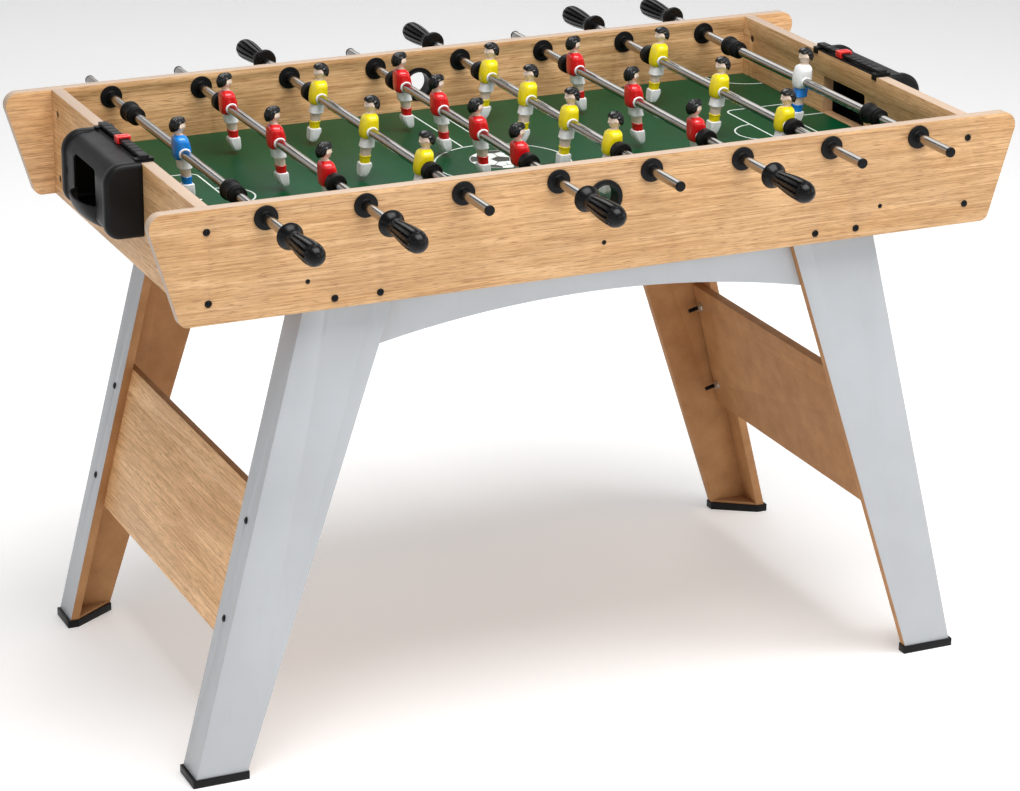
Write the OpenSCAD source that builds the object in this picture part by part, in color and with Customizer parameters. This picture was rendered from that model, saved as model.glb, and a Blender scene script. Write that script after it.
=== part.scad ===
// Foosball table on four splayed legs, with eight rods that slide and spin.
// Frame: the origin is on the floor under the middle of the table, +X runs along
// the table, -Y is the side with the first rod's handle, and +Z is up.
// All lengths are in millimetres.

/* [Cabinet] */
// Height of the cabinet's top edge above the floor
table_h = 768; // [750:1:790]
// Length of a side panel along its top edge
panel_top_len = 1210; // [1200:1:1220]
// Length of a side panel along its bottom edge
panel_bottom_len = 1124; // [1110:1:1140]
// Height of the side and end panels
panel_h = 145; // [140:1:150]
// Width over the outer faces of the side panels
cabinet_w = 618; // [600:1:630]
// Thickness of the side panels
side_t = 16; // [15:0.5:18]
// Thickness of the end panels
end_t = 16; // [15:0.5:18]
// Length over the outer faces of the end panels
end_span = 1070; // [1066:1:1076]
// Radius of a side panel's top corners
top_corner_r = 18; // [10:1:30]
// Radius of a side panel's bottom corners
bottom_corner_r = 12; // [5:1:20]

/* [Playfield] */
// Depth of the playing surface below the cabinet's top edge
field_drop = 85; // [84:0.5:88]
// Thickness of the playfield board
field_t = 5; // [4:0.5:6]
// Width of the rails that carry the playfield
rail_w = 15; // [12:1:18]
// Height of the rails that carry the playfield
rail_h = 24; // [20:1:25]
// Width of the goal opening
goal_w = 114; // [90:1:130]
// Height of the goal opening
goal_h = 53; // [45:1:56]

/* [Rods] */
// Distance between neighbouring rods
rod_pitch = 129; // [128:0.5:130]
// Depth of the rods' axes below the cabinet's top edge
rod_drop = 18.5; // [17:0.5:20]
// Outer diameter of a rod tube
rod_d = 12.7; // [12:0.1:13]
// Wall thickness of a rod tube
rod_wall = 1.2; // [1:0.1:2]
// Radial clearance of a rod in its bushings and bumpers
rod_gap = 0.08; // [0.02:0.01:0.1]
// Distance from the table's middle to a rod's plugged end
free_end = 390; // [389:1:400]
// Distance from the table's middle to the rear face of a handle
handle_start = 388; // [387:1:396]
// Length of a handle
handle_len = 97; // [94:1:110]
// Diameter of a handle's collar
collar_d = 34; // [30:1:38]
// Largest diameter of a handle's grip
grip_d = 28.5; // [26:0.5:33]
// Number of flutes around a grip
flutes = 12; // [8:1:14]

/* [Players] */
// Distance between the players on a rod of three
pitch_of_three = 187; // [178:1:189]
// Distance between the players on a rod of four
pitch_of_four = 133; // [126:1:135]
// Depth of a player's sole below the rod's axis
sole_reach = 60; // [56:0.5:60.5]
// Height of a player's crown above the rod's axis
crown_reach = 47; // [42:0.5:50]
// Length of a player's hub along the rod
hub_len = 28; // [24:1:30]
// Diameter of a player's hub
hub_d = 18; // [17:0.5:20]

/* [Bumpers and bushings] */
// Length of a rubber bumper
bumper_len = 14; // [10:1:16]
// Diameter of a rubber bumper
bumper_d = 26; // [24:1:30]
// Length of a goalkeeper rod's stop sleeve
sleeve_len = 34; // [30:1:50]
// Diameter of a goalkeeper rod's stop sleeve
sleeve_d = 25; // [22:1:30]
// Diameter of a bushing's flange
bushing_d = 31; // [28:1:34]
// Thickness of a bushing's flange
bushing_t = 3.2; // [2.5:0.1:3.4]
// Outer diameter of the ball entry's flange
entry_d = 48; // [46:1:50]
// Inner diameter of the ball entry
entry_bore = 35; // [33:1:36]
// Height of the ball entry's axis above the playing surface
entry_rise = 37; // [34:1:38]

/* [Goal boxes and scores] */
// Width of a goal box
box_w = 190; // [170:1:190]
// How far a goal box stands out from its end panel
box_depth = 50; // [46:1:52]
// Height of a goal box
box_h = 96; // [92:1:100]
// Wall thickness of a goal box
box_wall = 3; // [2:0.5:3.5]
// Width of the mouth where the ball is taken out
mouth_w = 90; // [70:1:94]
// Radius of the scoop under the mouth, seen from the side
scoop_r = 33; // [30:1:34]
// How far the scoop bulges past the goal box
scoop_bulge = 13; // [8:1:16]
// Thickness of the goal box's lip over the end panel
lip_t = 1.5; // [1:0.1:2]
// Length of a score bar between its clips
score_len = 150; // [140:1:172]
// Where the left score marker rests along its bar
left_score = 3; // [-60:1:60]
// Where the right score marker rests along its bar
right_score = 22; // [-60:1:60]

/* [Legs] */
// Distance from the table's middle to a leg's outer edge at the floor
foot_x = 556; // [550:1:560]
// How far a leg's outer edge leans inward for each unit of height
outer_lean = 0.252; // [0.245:0.001:0.26]
// Distance from the table's middle to a leg's inner edge at the floor
foot_inner_x = 487; // [480:1:492]
// How far a leg's inner edge leans inward for each unit of height
inner_lean = 0.333; // [0.32:0.001:0.34]
// Thickness of the leg, apron and stretcher boards
leg_t = 12; // [11:0.5:12]
// Width of a leg's side board
leg_side_w = 50; // [46:1:56]
// Height of a foot cap
cap_h = 11; // [9:1:14]
// Height of the apron's arch above the floor at its middle
arch_top = 589; // [580:1:600]
// Radius of the apron's arch
arch_r = 1464; // [1400:1:1600]
// Height of a stretcher's bottom edge above the floor
stretcher_low = 181; // [170:1:190]
// Height of a stretcher's top edge above the floor
stretcher_high = 376; // [370:1:390]

/* [Hidden] */
$fn = 48;
eps = 1;
rods = 8;
ends = [-1, 1];
front_handles = [1, 2, 4, 6];
players_per_rod = [1, 3, 3, 4, 4, 3, 3, 1];

rod_z = table_h - rod_drop;
field_z = table_h - field_drop;
panel_z = table_h - panel_h;
inner_y = cabinet_w / 2 - side_t;
inner_x = end_span / 2 - end_t;
end_mid_x = end_span / 2 - end_t / 2;
entry_z = field_z + entry_rise;
bushing_face_y = inner_y - bushing_t;
rod_r = rod_d / 2;
bore_r = rod_r + rod_gap;
bushing_sleeve_r = 10;
entry_sleeve_r = 20;
push_fit = 0.05;

// Fasteners
bolt_r = 2.95;
bolt_hole_r = 3.25;
bolt_head_r = 4.75;
nut_flat = 10;
nut_t = 5;
washer_r = 7;
washer_t = 1.2;
barrel_r = 5;
barrel_inset = 25;
end_bolt_zs = [table_h - 28, table_h - 118];
leg_bolt_xs = [304, 364];
leg_bolt_z = table_h - 132;
screw_r = 1.45;
screw_head_r = 3.2;
rail_screw_xs = [-399, 0, 399];
rail_screw_z = table_h - 106;
box_screw_inset = 9;
box_screw_zs = [table_h - 73, table_h - 23];
stretcher_bolt_zs = [215, 343];
pin_r = 1.5;
rod_short = 23;

// Legs
leg_top = table_h - 116;
cap_floor = 3;
cap_wall = 1.5;
block_h = 11;
glue_gap = 0.1;
lean_angle = atan(outer_lean);
leg_side_y = -inner_y + leg_side_w;
apron_end_x = foot_x - outer_lean * leg_top - leg_t / cos(lean_angle) - 3;
stretcher_half = inner_y - leg_t - 3;
stretcher_bolt_y = inner_y - 27;

// Players
skin = [0.93, 0.76, 0.66];
shirts = [[0.85, 0.1, 0.08], [0.95, 0.84, 0.1], [0.12, 0.45, 0.8], [0.93, 0.94, 0.95]];

// Goal boxes, from the end panel outward
box_x = end_span / 2;
box_out_x = box_x + box_depth;
box_low = table_h - box_h;
crown_r = 27;
heel_r = 16;
box_top = table_h + lip_t;
lip_half = box_w / 2 - 6;
mouth_top = table_h - 17;
scoop_x = box_out_x + scoop_bulge - scoop_r;
scoop_z = box_low + scoop_r;
scoop_plan_r = (pow(mouth_w / 2, 2) + pow(scoop_bulge, 2)) / (2 * scoop_bulge);
flange_w = 12;

// Score bars
bar_x = end_mid_x + 2;
bar_w = 12;
bar_t = 4;
pad_t = 4.2;
pad_len = 11;
marker_len = 14;
marker_gap = 0.3;

function rod_x(n) = (n - (rods + 1) / 2) * rod_pitch;
function handle_side(n) = len(search(n, front_handles)) > 0 ? -1 : 1;
function facing(n) = -handle_side(n);
function player_ys(n) =
    players_per_rod[n - 1] == 4 ? [for (k = [-1.5:1.5]) k * pitch_of_four] :
    players_per_rod[n - 1] == 3 ? [for (k = [-1:1]) k * pitch_of_three] : [0];
function is_goal_rod(n) = n == 1 || n == rods;
function stop_len(n) = is_goal_rod(n) ? sleeve_len : bumper_len;
function stop_start(n) =
    is_goal_rod(n) ? 180 : max(player_ys(n)) + hub_len / 2 + (players_per_rod[n - 1] == 3 ? 2 : 1);
function leg_outer_x(z) = foot_x - outer_lean * z;
function leg_inner_x(z) = foot_inner_x - inner_lean * z;
function tangent_pair(a, b, ra, rb) =
    let (d = b - a, t = atan2(d.y, d.x) - acos((ra - rb) / norm(d)), u = [cos(t), sin(t)])
    [a + ra * u, b + rb * u];

RODS = [for (n = [1:rods]) each [
    str("rod_", n, "_tube"), str("rod_", n, "_players"),
    str("rod_", n, "_handle"), str("rod_", n, "_bumpers")]];

// ---- Helpers ----

// Convex outline around discs given in anticlockwise order, with true arcs
module disc_outline(centres, radii) {
    count = len(centres);
    polygon([for (i = [0:count - 1]) let (j = (i + 1) % count)
        each tangent_pair(centres[i], centres[j], radii[i], radii[j])]);
    for (i = [0:count - 1])
        if (radii[i] > 0) translate(centres[i]) circle(r = radii[i]);
}

// An XZ outline, made solid between two depths along Y
module slab_y(low, high) {
    translate([0, high, 0]) rotate([90, 0, 0]) linear_extrude(high - low) children();
}

// A YZ outline, made solid between two places along X
module slab_x(low, high) {
    translate([low, 0, 0]) rotate([90, 0, 90]) linear_extrude(high - low) children();
}

// A solid box between two corners
module block(low, high) {
    translate(low) cube(high - low);
}

module rod_y(r, low, high, x = 0, z = 0) {
    translate([x, low, z]) rotate([-90, 0, 0]) cylinder(r = r, h = high - low);
}

module rod_x_axis(r, low, high, y = 0, z = 0) {
    translate([low, y, z]) rotate([0, 90, 0]) cylinder(r = r, h = high - low);
}

// Turns a shape drawn along +Z so that it points along Y, towards or away from the middle
module along_y(direction) {
    rotate([-90 * direction, 0, 0]) children();
}

module both_sides() {
    for (side = ends) mirror([0, side < 0 ? 1 : 0, 0]) children();
}

// A leg's slanted frame: local Z climbs the leg's outer face, local -X points inward
module leg_frame() {
    translate([foot_x, 0, 0]) rotate([0, -lean_angle, 0]) children();
}

// Puts a shape made for the right front leg at the leg on the given ends
module at_leg(x_end, y_end) {
    mirror([x_end < 0 ? 1 : 0, 0, 0]) mirror([0, y_end > 0 ? 1 : 0, 0]) children();
}

module at_end(x_end) {
    mirror([x_end < 0 ? 1 : 0, 0, 0]) children();
}

// ---- Fasteners ----

module cross_recess() {
    for (turn = [0, 90])
        rotate([0, 0, turn]) translate([-2.2, -0.5, -2.5]) cube([4.4, 1, 1.4]);
}

module dome_bolt(length) {
    difference() {
        union() {
            cylinder(r = bolt_r, h = length);
            translate([0, 0, -0.9]) cylinder(r = bolt_head_r, h = 0.9);
            translate([0, 0, -2]) cylinder(r1 = 3, r2 = bolt_head_r, h = 1.1);
        }
        cross_recess();
    }
}

module wood_screw(length) {
    difference() {
        union() {
            cylinder(r = screw_r, h = length - 4);
            translate([0, 0, length - 4]) cylinder(r1 = screw_r, r2 = 0.2, h = 4);
            translate([0, 0, -1.4]) cylinder(r = screw_head_r, h = 1.4);
        }
        translate([-1.6, -0.4, -2]) cube([3.2, 0.8, 1]);
        translate([-0.4, -1.6, -2]) cube([0.8, 3.2, 1]);
    }
}

module nut_and_washer() {
    difference() {
        union() {
            cylinder(r = washer_r, h = washer_t);
            translate([0, 0, washer_t]) cylinder(r = nut_flat / sqrt(3), h = nut_t, $fn = 6);
        }
        translate([0, 0, -eps]) cylinder(r = bolt_r + push_fit, h = nut_t + washer_t + 2 * eps);
    }
}

// ---- Cabinet ----

module panel_outline() {
    run = (panel_top_len - panel_bottom_len) / 2;
    across = norm([run, panel_h]);
    top_z = table_h - top_corner_r;
    low_z = panel_z + bottom_corner_r;
    top_x = panel_top_len / 2 - (top_corner_r * across + run * top_corner_r) / panel_h;
    low_x = panel_bottom_len / 2 - (bottom_corner_r * across - run * bottom_corner_r) / panel_h;
    disc_outline(
        [[-low_x, low_z], [low_x, low_z], [top_x, top_z], [-top_x, top_z]],
        [bottom_corner_r, bottom_corner_r, top_corner_r, top_corner_r]);
}

module side_panel(side) {
    low = side < 0 ? -cabinet_w / 2 : inner_y;
    a = low - eps;
    b = low + side_t + eps;
    color("burlywood") difference() {
        slab_y(low, low + side_t) panel_outline();
        for (n = [1:rods]) rod_y(bushing_sleeve_r + 0.2, a, b, rod_x(n), rod_z);
        rod_y(entry_sleeve_r + 0.2, a, b, 0, entry_z);
        for (e = ends, z = end_bolt_zs) rod_y(bolt_hole_r, a, b, e * end_mid_x, z);
        for (e = ends, x = leg_bolt_xs) rod_y(bolt_hole_r, a, b, e * x, leg_bolt_z);
        for (x = rail_screw_xs) rod_y(screw_r + 0.4, a, b, x, rail_screw_z);
    }
}

module end_panel(x_end) {
    goal_r = 5;
    bolt_depth = barrel_inset + 12;
    color("burlywood") at_end(x_end) difference() {
        block([inner_x, -inner_y, panel_z], [end_span / 2, inner_y, table_h]);
        slab_x(inner_x - eps, end_span / 2 + eps) disc_outline(
            [[-goal_w / 2, field_z], [goal_w / 2, field_z],
             [goal_w / 2 - goal_r, field_z + goal_h - goal_r],
             [-goal_w / 2 + goal_r, field_z + goal_h - goal_r]],
            [0, 0, goal_r, goal_r]);
        for (side = ends, z = end_bolt_zs) {
            rod_y(bolt_hole_r, min(side * inner_y, side * (inner_y - bolt_depth)) - (side < 0 ? eps : 0),
                max(side * inner_y, side * (inner_y - bolt_depth)) + (side > 0 ? eps : 0), end_mid_x, z);
            rod_x_axis(barrel_r + 0.1, inner_x - eps, end_span / 2 + eps, side * (inner_y - barrel_inset), z);
        }
        for (side = ends, z = box_screw_zs)
            rod_x_axis(screw_r + push_fit, end_span / 2 - 13, end_span / 2 + eps,
                side * (box_w / 2 - box_screw_inset), z);
    }
}

module playfield() {
    slack = 0.5;
    color([0.13, 0.36, 0.22])
        block([-inner_x + slack, -inner_y + slack, field_z - field_t],
            [inner_x - slack, inner_y - slack, field_z]);
}

module field_rails() {
    high = field_z - field_t;
    low = high - rail_h;
    half_len = inner_x - rail_w - 1;
    color("peru") {
        for (side = ends) difference() {
            block([-half_len, side < 0 ? -inner_y : inner_y - rail_w, low],
                [half_len, side < 0 ? -inner_y + rail_w : inner_y, high]);
            for (x = rail_screw_xs)
                rod_y(screw_r + push_fit, -cabinet_w, cabinet_w, x, rail_screw_z);
        }
        for (e = ends)
            block([e < 0 ? -inner_x : inner_x - rail_w, -inner_y, low],
                [e < 0 ? -inner_x + rail_w : inner_x, inner_y, high]);
    }
}

// ---- Bushings and ball entries ----

// One lined hole through a panel: a flanged sleeve from outside and a ring on its inner end
module lined_hole(sleeve_r, hole_r, flange_r, flange_t) {
    inner_face = inner_y - flange_t;
    outer_face = cabinet_w / 2 + flange_t;
    difference() {
        union() {
            rod_y(flange_r, cabinet_w / 2, outer_face);
            rod_y(sleeve_r, inner_face, cabinet_w / 2 + eps / 2);
        }
        rod_y(hole_r, inner_face - eps, outer_face + eps);
    }
    difference() {
        rod_y(flange_r, inner_face, inner_y);
        rod_y(sleeve_r + push_fit, inner_face - eps, inner_y + eps);
    }
}

module rod_bushings() {
    color([0.08, 0.08, 0.09]) both_sides() for (n = [1:rods])
        translate([rod_x(n), 0, rod_z])
            lined_hole(bushing_sleeve_r, bore_r, bushing_d / 2, bushing_t);
}

module ball_entry_cups() {
    color([0.08, 0.08, 0.09]) both_sides() translate([0, 0, entry_z])
        lined_hole(entry_sleeve_r, entry_bore / 2, entry_d / 2, 3);
}

// ---- Goal boxes and score bars ----

module box_profile(inset) {
    inner = box_x - (inset > 0 ? eps : 0);
    intersection() {
        disc_outline(
            [[inner, box_low + inset], [box_out_x - heel_r, box_low + heel_r],
             [box_out_x - crown_r, box_top - crown_r], [inner, box_top - inset]],
            [0, heel_r - inset, crown_r - inset, 0]);
        translate([inner, box_low]) square([box_depth + eps, box_top - box_low]);
    }
}

// The scoop bulges both in its side view and in plan
module scoop_solid(half, inset) {
    intersection() {
        slab_y(-half, half) intersection() {
            translate([scoop_x, scoop_z]) circle(r = scoop_r - inset);
            translate([scoop_x, scoop_z - 2 * scoop_r]) square(2 * scoop_r);
        }
        translate([box_out_x + scoop_bulge - scoop_plan_r, 0, box_low - eps])
            cylinder(r = scoop_plan_r - inset, h = box_h);
    }
}

module goal_box(x_end) {
    mouth_r = 9;
    half = mouth_w / 2;
    color([0.1, 0.1, 0.11]) at_end(x_end) difference() {
        union() {
            difference() {
                union() {
                    slab_y(-box_w / 2, box_w / 2) box_profile(0);
                    scoop_solid(half + box_wall, 0);
                }
                slab_y(-box_w / 2 + box_wall, box_w / 2 - box_wall) box_profile(box_wall);
            }
            block([inner_x, -lip_half, table_h], [box_x + box_wall, lip_half, box_top]);
            for (side = ends)
                translate([box_x, side * (box_w / 2 - flange_w / 2) - flange_w / 2, box_low + 1])
                    cube([box_wall, flange_w, box_h - 5]);
        }
        scoop_solid(half, box_wall);
        slab_x(box_out_x - box_wall - eps, box_out_x + eps) disc_outline(
            [[-half, scoop_z], [half, scoop_z],
             [half - mouth_r, mouth_top - mouth_r], [-half + mouth_r, mouth_top - mouth_r]],
            [0, 0, mouth_r, mouth_r]);
        for (side = ends, z = box_screw_zs)
            rod_x_axis(screw_r + 0.4, box_x - eps, box_x + box_wall + eps,
                side * (box_w / 2 - box_screw_inset), z);
    }
}

module score_bar() {
    half = score_len / 2;
    hook_t = 2;
    low_x = bar_x - bar_w / 2;
    color([0.1, 0.1, 0.11]) difference() {
        union() {
            block([low_x, -half - pad_len, table_h + pad_t],
                [low_x + bar_w, half + pad_len, table_h + pad_t + bar_t]);
            for (side = ends) {
                y = side * (half + pad_len / 2);
                block([inner_x - hook_t, y - pad_len / 2, box_top],
                    [box_x + 6, y + pad_len / 2, table_h + pad_t]);
                block([inner_x - hook_t, y - pad_len / 2, table_h - 5],
                    [inner_x, y + pad_len / 2, table_h + pad_t]);
            }
        }
        for (k = [-4.5:4.5])
            block([low_x - eps, k * 14 - 0.6, table_h + pad_t + bar_t - 0.8],
                [low_x + bar_w + eps, k * 14 + 0.6, table_h + pad_t + bar_t + eps]);
    }
}

module score_bars() {
    for (e = ends) at_end(e) score_bar();
}

// A red saddle that wraps the bar and slides along it
module score_marker(x_end, rest_y) {
    bar_low = table_h + pad_t;
    wall = 3;
    lip_x = bar_w / 2 - 2.5;
    color([0.8, 0.08, 0.08]) translate([x_end * bar_x, rest_y, 0]) difference() {
        block([-bar_w / 2 - wall - marker_gap, -marker_len / 2, box_top + 0.5],
            [bar_w / 2 + wall + marker_gap, marker_len / 2, bar_low + bar_t + 3]);
        block([-bar_w / 2 - marker_gap, -marker_len, bar_low - marker_gap],
            [bar_w / 2 + marker_gap, marker_len, bar_low + bar_t + marker_gap]);
        block([-lip_x, -marker_len, table_h - eps], [lip_x, marker_len, bar_low]);
        block([-bar_w / 2, -2.5, bar_low + bar_t + 1.6], [bar_w / 2, 2.5, bar_low + bar_t + 4]);
    }
}

// ---- Legs ----

// Face board of the right front leg, mitred to the side board along the outer edge
module face_board(gap = 0) {
    intersection() {
        leg_frame() translate([0, 0, -100]) linear_extrude(table_h + 200) polygon([
            [-gap, -inner_y], [-leg_t - gap, -inner_y + leg_t],
            [-foot_x, -inner_y + leg_t], [-foot_x, -inner_y]]);
        slab_y(-inner_y, -inner_y + leg_t) polygon([
            [leg_inner_x(cap_floor), cap_floor], [foot_x + eps, cap_floor],
            [foot_x + eps, leg_top], [leg_inner_x(leg_top), leg_top]]);
    }
}

// Side board of the right front leg, square to the face board
module side_board() {
    intersection() {
        leg_frame() translate([0, 0, -100]) linear_extrude(table_h + 200) polygon([
            [0, -inner_y], [0, leg_side_y], [-leg_t, leg_side_y], [-leg_t, -inner_y + leg_t]]);
        block([0, -cabinet_w, cap_floor], [foot_x + eps, 0, leg_top]);
    }
}

// Triangular block that ties the two boards together at the floor
module foot_block(gap = 0) {
    mid_x = foot_x - leg_t * 2 / 3;
    translate([-gap, gap, 0]) difference() {
        translate([0, 0, cap_floor]) linear_extrude(block_h) polygon([
            [mid_x, -inner_y + leg_t / 2], [mid_x, leg_side_y], [foot_x - leg_t - 1, leg_side_y],
            [foot_inner_x, -inner_y + leg_t], [foot_inner_x, -inner_y + leg_t / 2]]);
        face_board();
        side_board();
    }
}

module leg(x_end, y_end) {
    color("silver") at_leg(x_end, y_end) difference() {
        union() {
            face_board(glue_gap);
            side_board();
            foot_block(glue_gap);
        }
        for (x = leg_bolt_xs)
            rod_y(bolt_hole_r, -inner_y - eps, -inner_y + leg_t + eps, x, leg_bolt_z);
        stretcher_bolt_holes(-leg_t - eps, eps);
    }
}

// Bores for the two bolts of one stretcher end, along the slanted frame's X
module stretcher_bolt_holes(low, high) {
    leg_frame() for (z = stretcher_bolt_zs)
        rod_x_axis(bolt_hole_r, low, high, -stretcher_bolt_y, z / cos(lean_angle));
}

module foot_cap() {
    out = cap_wall;
    inner = leg_inner_x(cap_h) - out;
    difference() {
        linear_extrude(cap_h) polygon([
            [foot_x + out, -inner_y - out], [foot_x + out, leg_side_y + out],
            [foot_x - leg_t - 2, leg_side_y + out], [inner, -inner_y + leg_t + out],
            [inner, -inner_y - out]]);
        face_board();
        side_board();
        foot_block();
        foot_block(glue_gap);
    }
}

module foot_caps() {
    color([0.08, 0.08, 0.09]) for (e = ends, s = ends) at_leg(e, s) foot_cap();
}

module apron(side) {
    low = side < 0 ? -inner_y + leg_t : inner_y - 2 * leg_t;
    color("silver") difference() {
        slab_y(low, low + leg_t) difference() {
            translate([-apron_end_x, arch_top - 60]) square([2 * apron_end_x, leg_top - arch_top + 60]);
            translate([0, arch_top - arch_r]) circle(r = arch_r, $fn = 720);
        }
        for (e = ends, x = leg_bolt_xs)
            rod_y(bolt_hole_r, low - eps, low + leg_t + eps, e * x, leg_bolt_z);
    }
}

module stretcher(x_end) {
    low = stretcher_low / cos(lean_angle);
    high = stretcher_high / cos(lean_angle);
    color("burlywood") at_end(x_end) difference() {
        leg_frame() block([-2 * leg_t, -stretcher_half, low], [-leg_t, stretcher_half, high]);
        both_sides() stretcher_bolt_holes(-2 * leg_t - eps, -leg_t + eps);
    }
}

// ---- Fastener groups ----

module cabinet_bolts() {
    color([0.1, 0.1, 0.11]) for (e = ends, side = ends, z = end_bolt_zs)
        translate([e * end_mid_x, side * cabinet_w / 2, z])
            along_y(-side) dome_bolt(side_t + barrel_inset + 9);
}

module barrel_nuts() {
    color("silver") for (e = ends, side = ends, z = end_bolt_zs) {
        y = side * (inner_y - barrel_inset);
        difference() {
            rod_x_axis(barrel_r, e * end_mid_x - 7, e * end_mid_x + 7, y, z);
            rod_y(bolt_r + push_fit, y - 10, y + 10, e * end_mid_x, z);
        }
    }
}

module leg_bolts() {
    color([0.1, 0.1, 0.11]) for (e = ends, side = ends, x = leg_bolt_xs)
        translate([e * x, side * cabinet_w / 2, leg_bolt_z])
            along_y(-side) dome_bolt(side_t + 2 * leg_t + washer_t + nut_t + 4);
}

module stretcher_bolts() {
    color([0.1, 0.1, 0.11]) for (e = ends, s = ends) at_leg(e, s)
        leg_frame() for (z = stretcher_bolt_zs)
            translate([0, -stretcher_bolt_y, z / cos(lean_angle)])
                rotate([0, -90, 0]) dome_bolt(2 * leg_t + washer_t + nut_t + 14);
}

module nuts_and_washers() {
    color("silver") {
        for (e = ends, side = ends, x = leg_bolt_xs)
            translate([e * x, side * (inner_y - 2 * leg_t), leg_bolt_z])
                along_y(-side) nut_and_washer();
        for (e = ends, s = ends) at_leg(e, s)
            leg_frame() for (z = stretcher_bolt_zs)
                translate([-2 * leg_t, -stretcher_bolt_y, z / cos(lean_angle)])
                    rotate([0, -90, 0]) nut_and_washer();
    }
}

module wood_screws() {
    color([0.1, 0.1, 0.11]) {
        for (side = ends, x = rail_screw_xs)
            translate([x, side * cabinet_w / 2, rail_screw_z])
                along_y(-side) wood_screw(side_t + rail_w - 3);
        for (e = ends, side = ends, z = box_screw_zs)
            at_end(e) translate([box_x + box_wall, side * (box_w / 2 - box_screw_inset), z])
                rotate([0, -90, 0]) wood_screw(box_wall + 11);
    }
}

// ---- Rods ----

module rod_tube(n) {
    near = handle_start + handle_len - rod_short;
    far = free_end - 3;
    side = handle_side(n);
    color("silver") translate([rod_x(n), 0, rod_z]) {
        difference() {
            rod_y(rod_r, side < 0 ? -near : -far, side < 0 ? far : near);
            rod_y(rod_r - rod_wall, -2 * near, 2 * near);
            for (y = player_ys(n)) rod_x_axis(pin_r + 0.1, -rod_d, rod_d, y);
        }
        for (y = player_ys(n)) rod_x_axis(pin_r, -hub_d / 2 + 0.5, hub_d / 2 - 0.5, y);
    }
}

// Radius of the grip at a distance from the handle's rear face
function grip_radius(s) =
    let (neck = 16, widest = handle_len - 24, neck_r = 9.8, big_r = grip_d / 2)
    s <= widest ?
        neck_r + (big_r - neck_r) * sin(90 * (s - neck) / (widest - neck)) :
        big_r * sqrt(max(0, 1 - pow((s - widest) / (handle_len - widest), 2)));

module handle_body() {
    steps = 18;
    collar = [[0, 12], [2, collar_d / 2 - 1], [5, collar_d / 2], [8, collar_d / 2 - 1.5], [12, 11.5]];
    grip = [for (k = [0:steps]) let (s = 16 + (handle_len - 16) * sin(90 * k / steps)) [s, grip_radius(s)]];
    rotate_extrude() polygon(concat(
        [[0, 0]], [for (p = collar) [p[1], p[0]]], [for (p = grip) [p[1], p[0]]]));
}

// The handle grips one end of the rod, and a plug closes the other end
module rod_handle(n) {
    side = handle_side(n);
    flute_r = 2.2;
    color([0.08, 0.08, 0.09]) translate([rod_x(n), 0, rod_z]) {
        translate([0, side * handle_start, 0]) along_y(side) difference() {
            handle_body();
            for (k = [0:flutes - 1])
                rotate([0, 0, 360 * k / flutes]) translate([grip_d / 2 + 0.6, 0, 26])
                    cylinder(r = flute_r, h = handle_len - 42);
            translate([0, 0, -eps]) cylinder(r = rod_r + push_fit, h = handle_len - rod_short + eps);
        }
        translate([0, -side * free_end, 0]) along_y(side) {
            cylinder(r = rod_r + 0.35, h = 3);
            cylinder(r = rod_r - rod_wall - push_fit, h = 15);
        }
    }
}

module bumper(length, r) {
    bevel = 1;
    difference() {
        union() {
            cylinder(r1 = r - bevel, r2 = r, h = bevel);
            translate([0, 0, bevel]) cylinder(r = r, h = length - 2 * bevel);
            translate([0, 0, length - bevel]) cylinder(r1 = r, r2 = r - bevel, h = bevel);
        }
        translate([0, 0, -eps]) cylinder(r = bore_r, h = length + 2 * eps);
    }
}

module rod_bumpers(n) {
    r = (is_goal_rod(n) ? sleeve_d : bumper_d) / 2;
    color([0.08, 0.08, 0.09]) translate([rod_x(n), 0, rod_z]) for (side = ends)
        translate([0, side * stop_start(n), 0]) along_y(side) {
            bumper(stop_len(n), r);
            if (is_goal_rod(n)) translate([0, 0, stop_len(n) - 6]) bumper(6, r + 1.5);
        }
}

// One player on the rod's axis, facing +X; the hub is pinned to the rod
module player(shirt) {
    boot_low = -sole_reach;
    boot_high = boot_low + 17;
    head_r = 9.5;
    difference() {
        union() {
            color("white") rod_y(hub_d / 2, -hub_len / 2, hub_len / 2);
            color(shirt) slab_y(-12.5, 12.5)
                disc_outline([[-4.5, -1], [4.5, -1], [1, 15], [-4, 15]], [7.5, 7.5, 7, 7]);
            color("white") slab_y(-10, 10) polygon([[-7.5, -6], [7, -6], [9, -20], [-4, -20]]);
            color(skin) slab_y(-8, 8) polygon([[-4, -19], [9, -19], [12, boot_high - 1], [2, boot_high - 1]]);
            color("white") slab_y(-9.5, 9.5)
                polygon([[0.5, boot_high], [13, boot_high], [15, boot_low], [4, boot_low]]);
            color(skin) translate([-2, 0, 18]) cylinder(r = 5.5, h = 14);
            color([0.05, 0.05, 0.05]) translate([-2.5, 0, crown_reach - head_r]) sphere(r = head_r);
        }
        rod_y(rod_r, -hub_len, hub_len);
        rod_x_axis(pin_r + push_fit, -hub_d / 2 + 0.5, hub_d / 2 - 0.5);
    }
}

module rod_players(n) {
    goal_shirt = facing(n) > 0 ? shirts[2] : shirts[3];
    field_shirt = facing(n) > 0 ? shirts[0] : shirts[1];
    translate([rod_x(n), 0, rod_z]) for (y = player_ys(n))
        translate([0, y, 0]) mirror([facing(n) < 0 ? 1 : 0, 0, 0])
            player(is_goal_rod(n) ? goal_shirt : field_shirt);
}

// ---- Nodes ----

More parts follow.
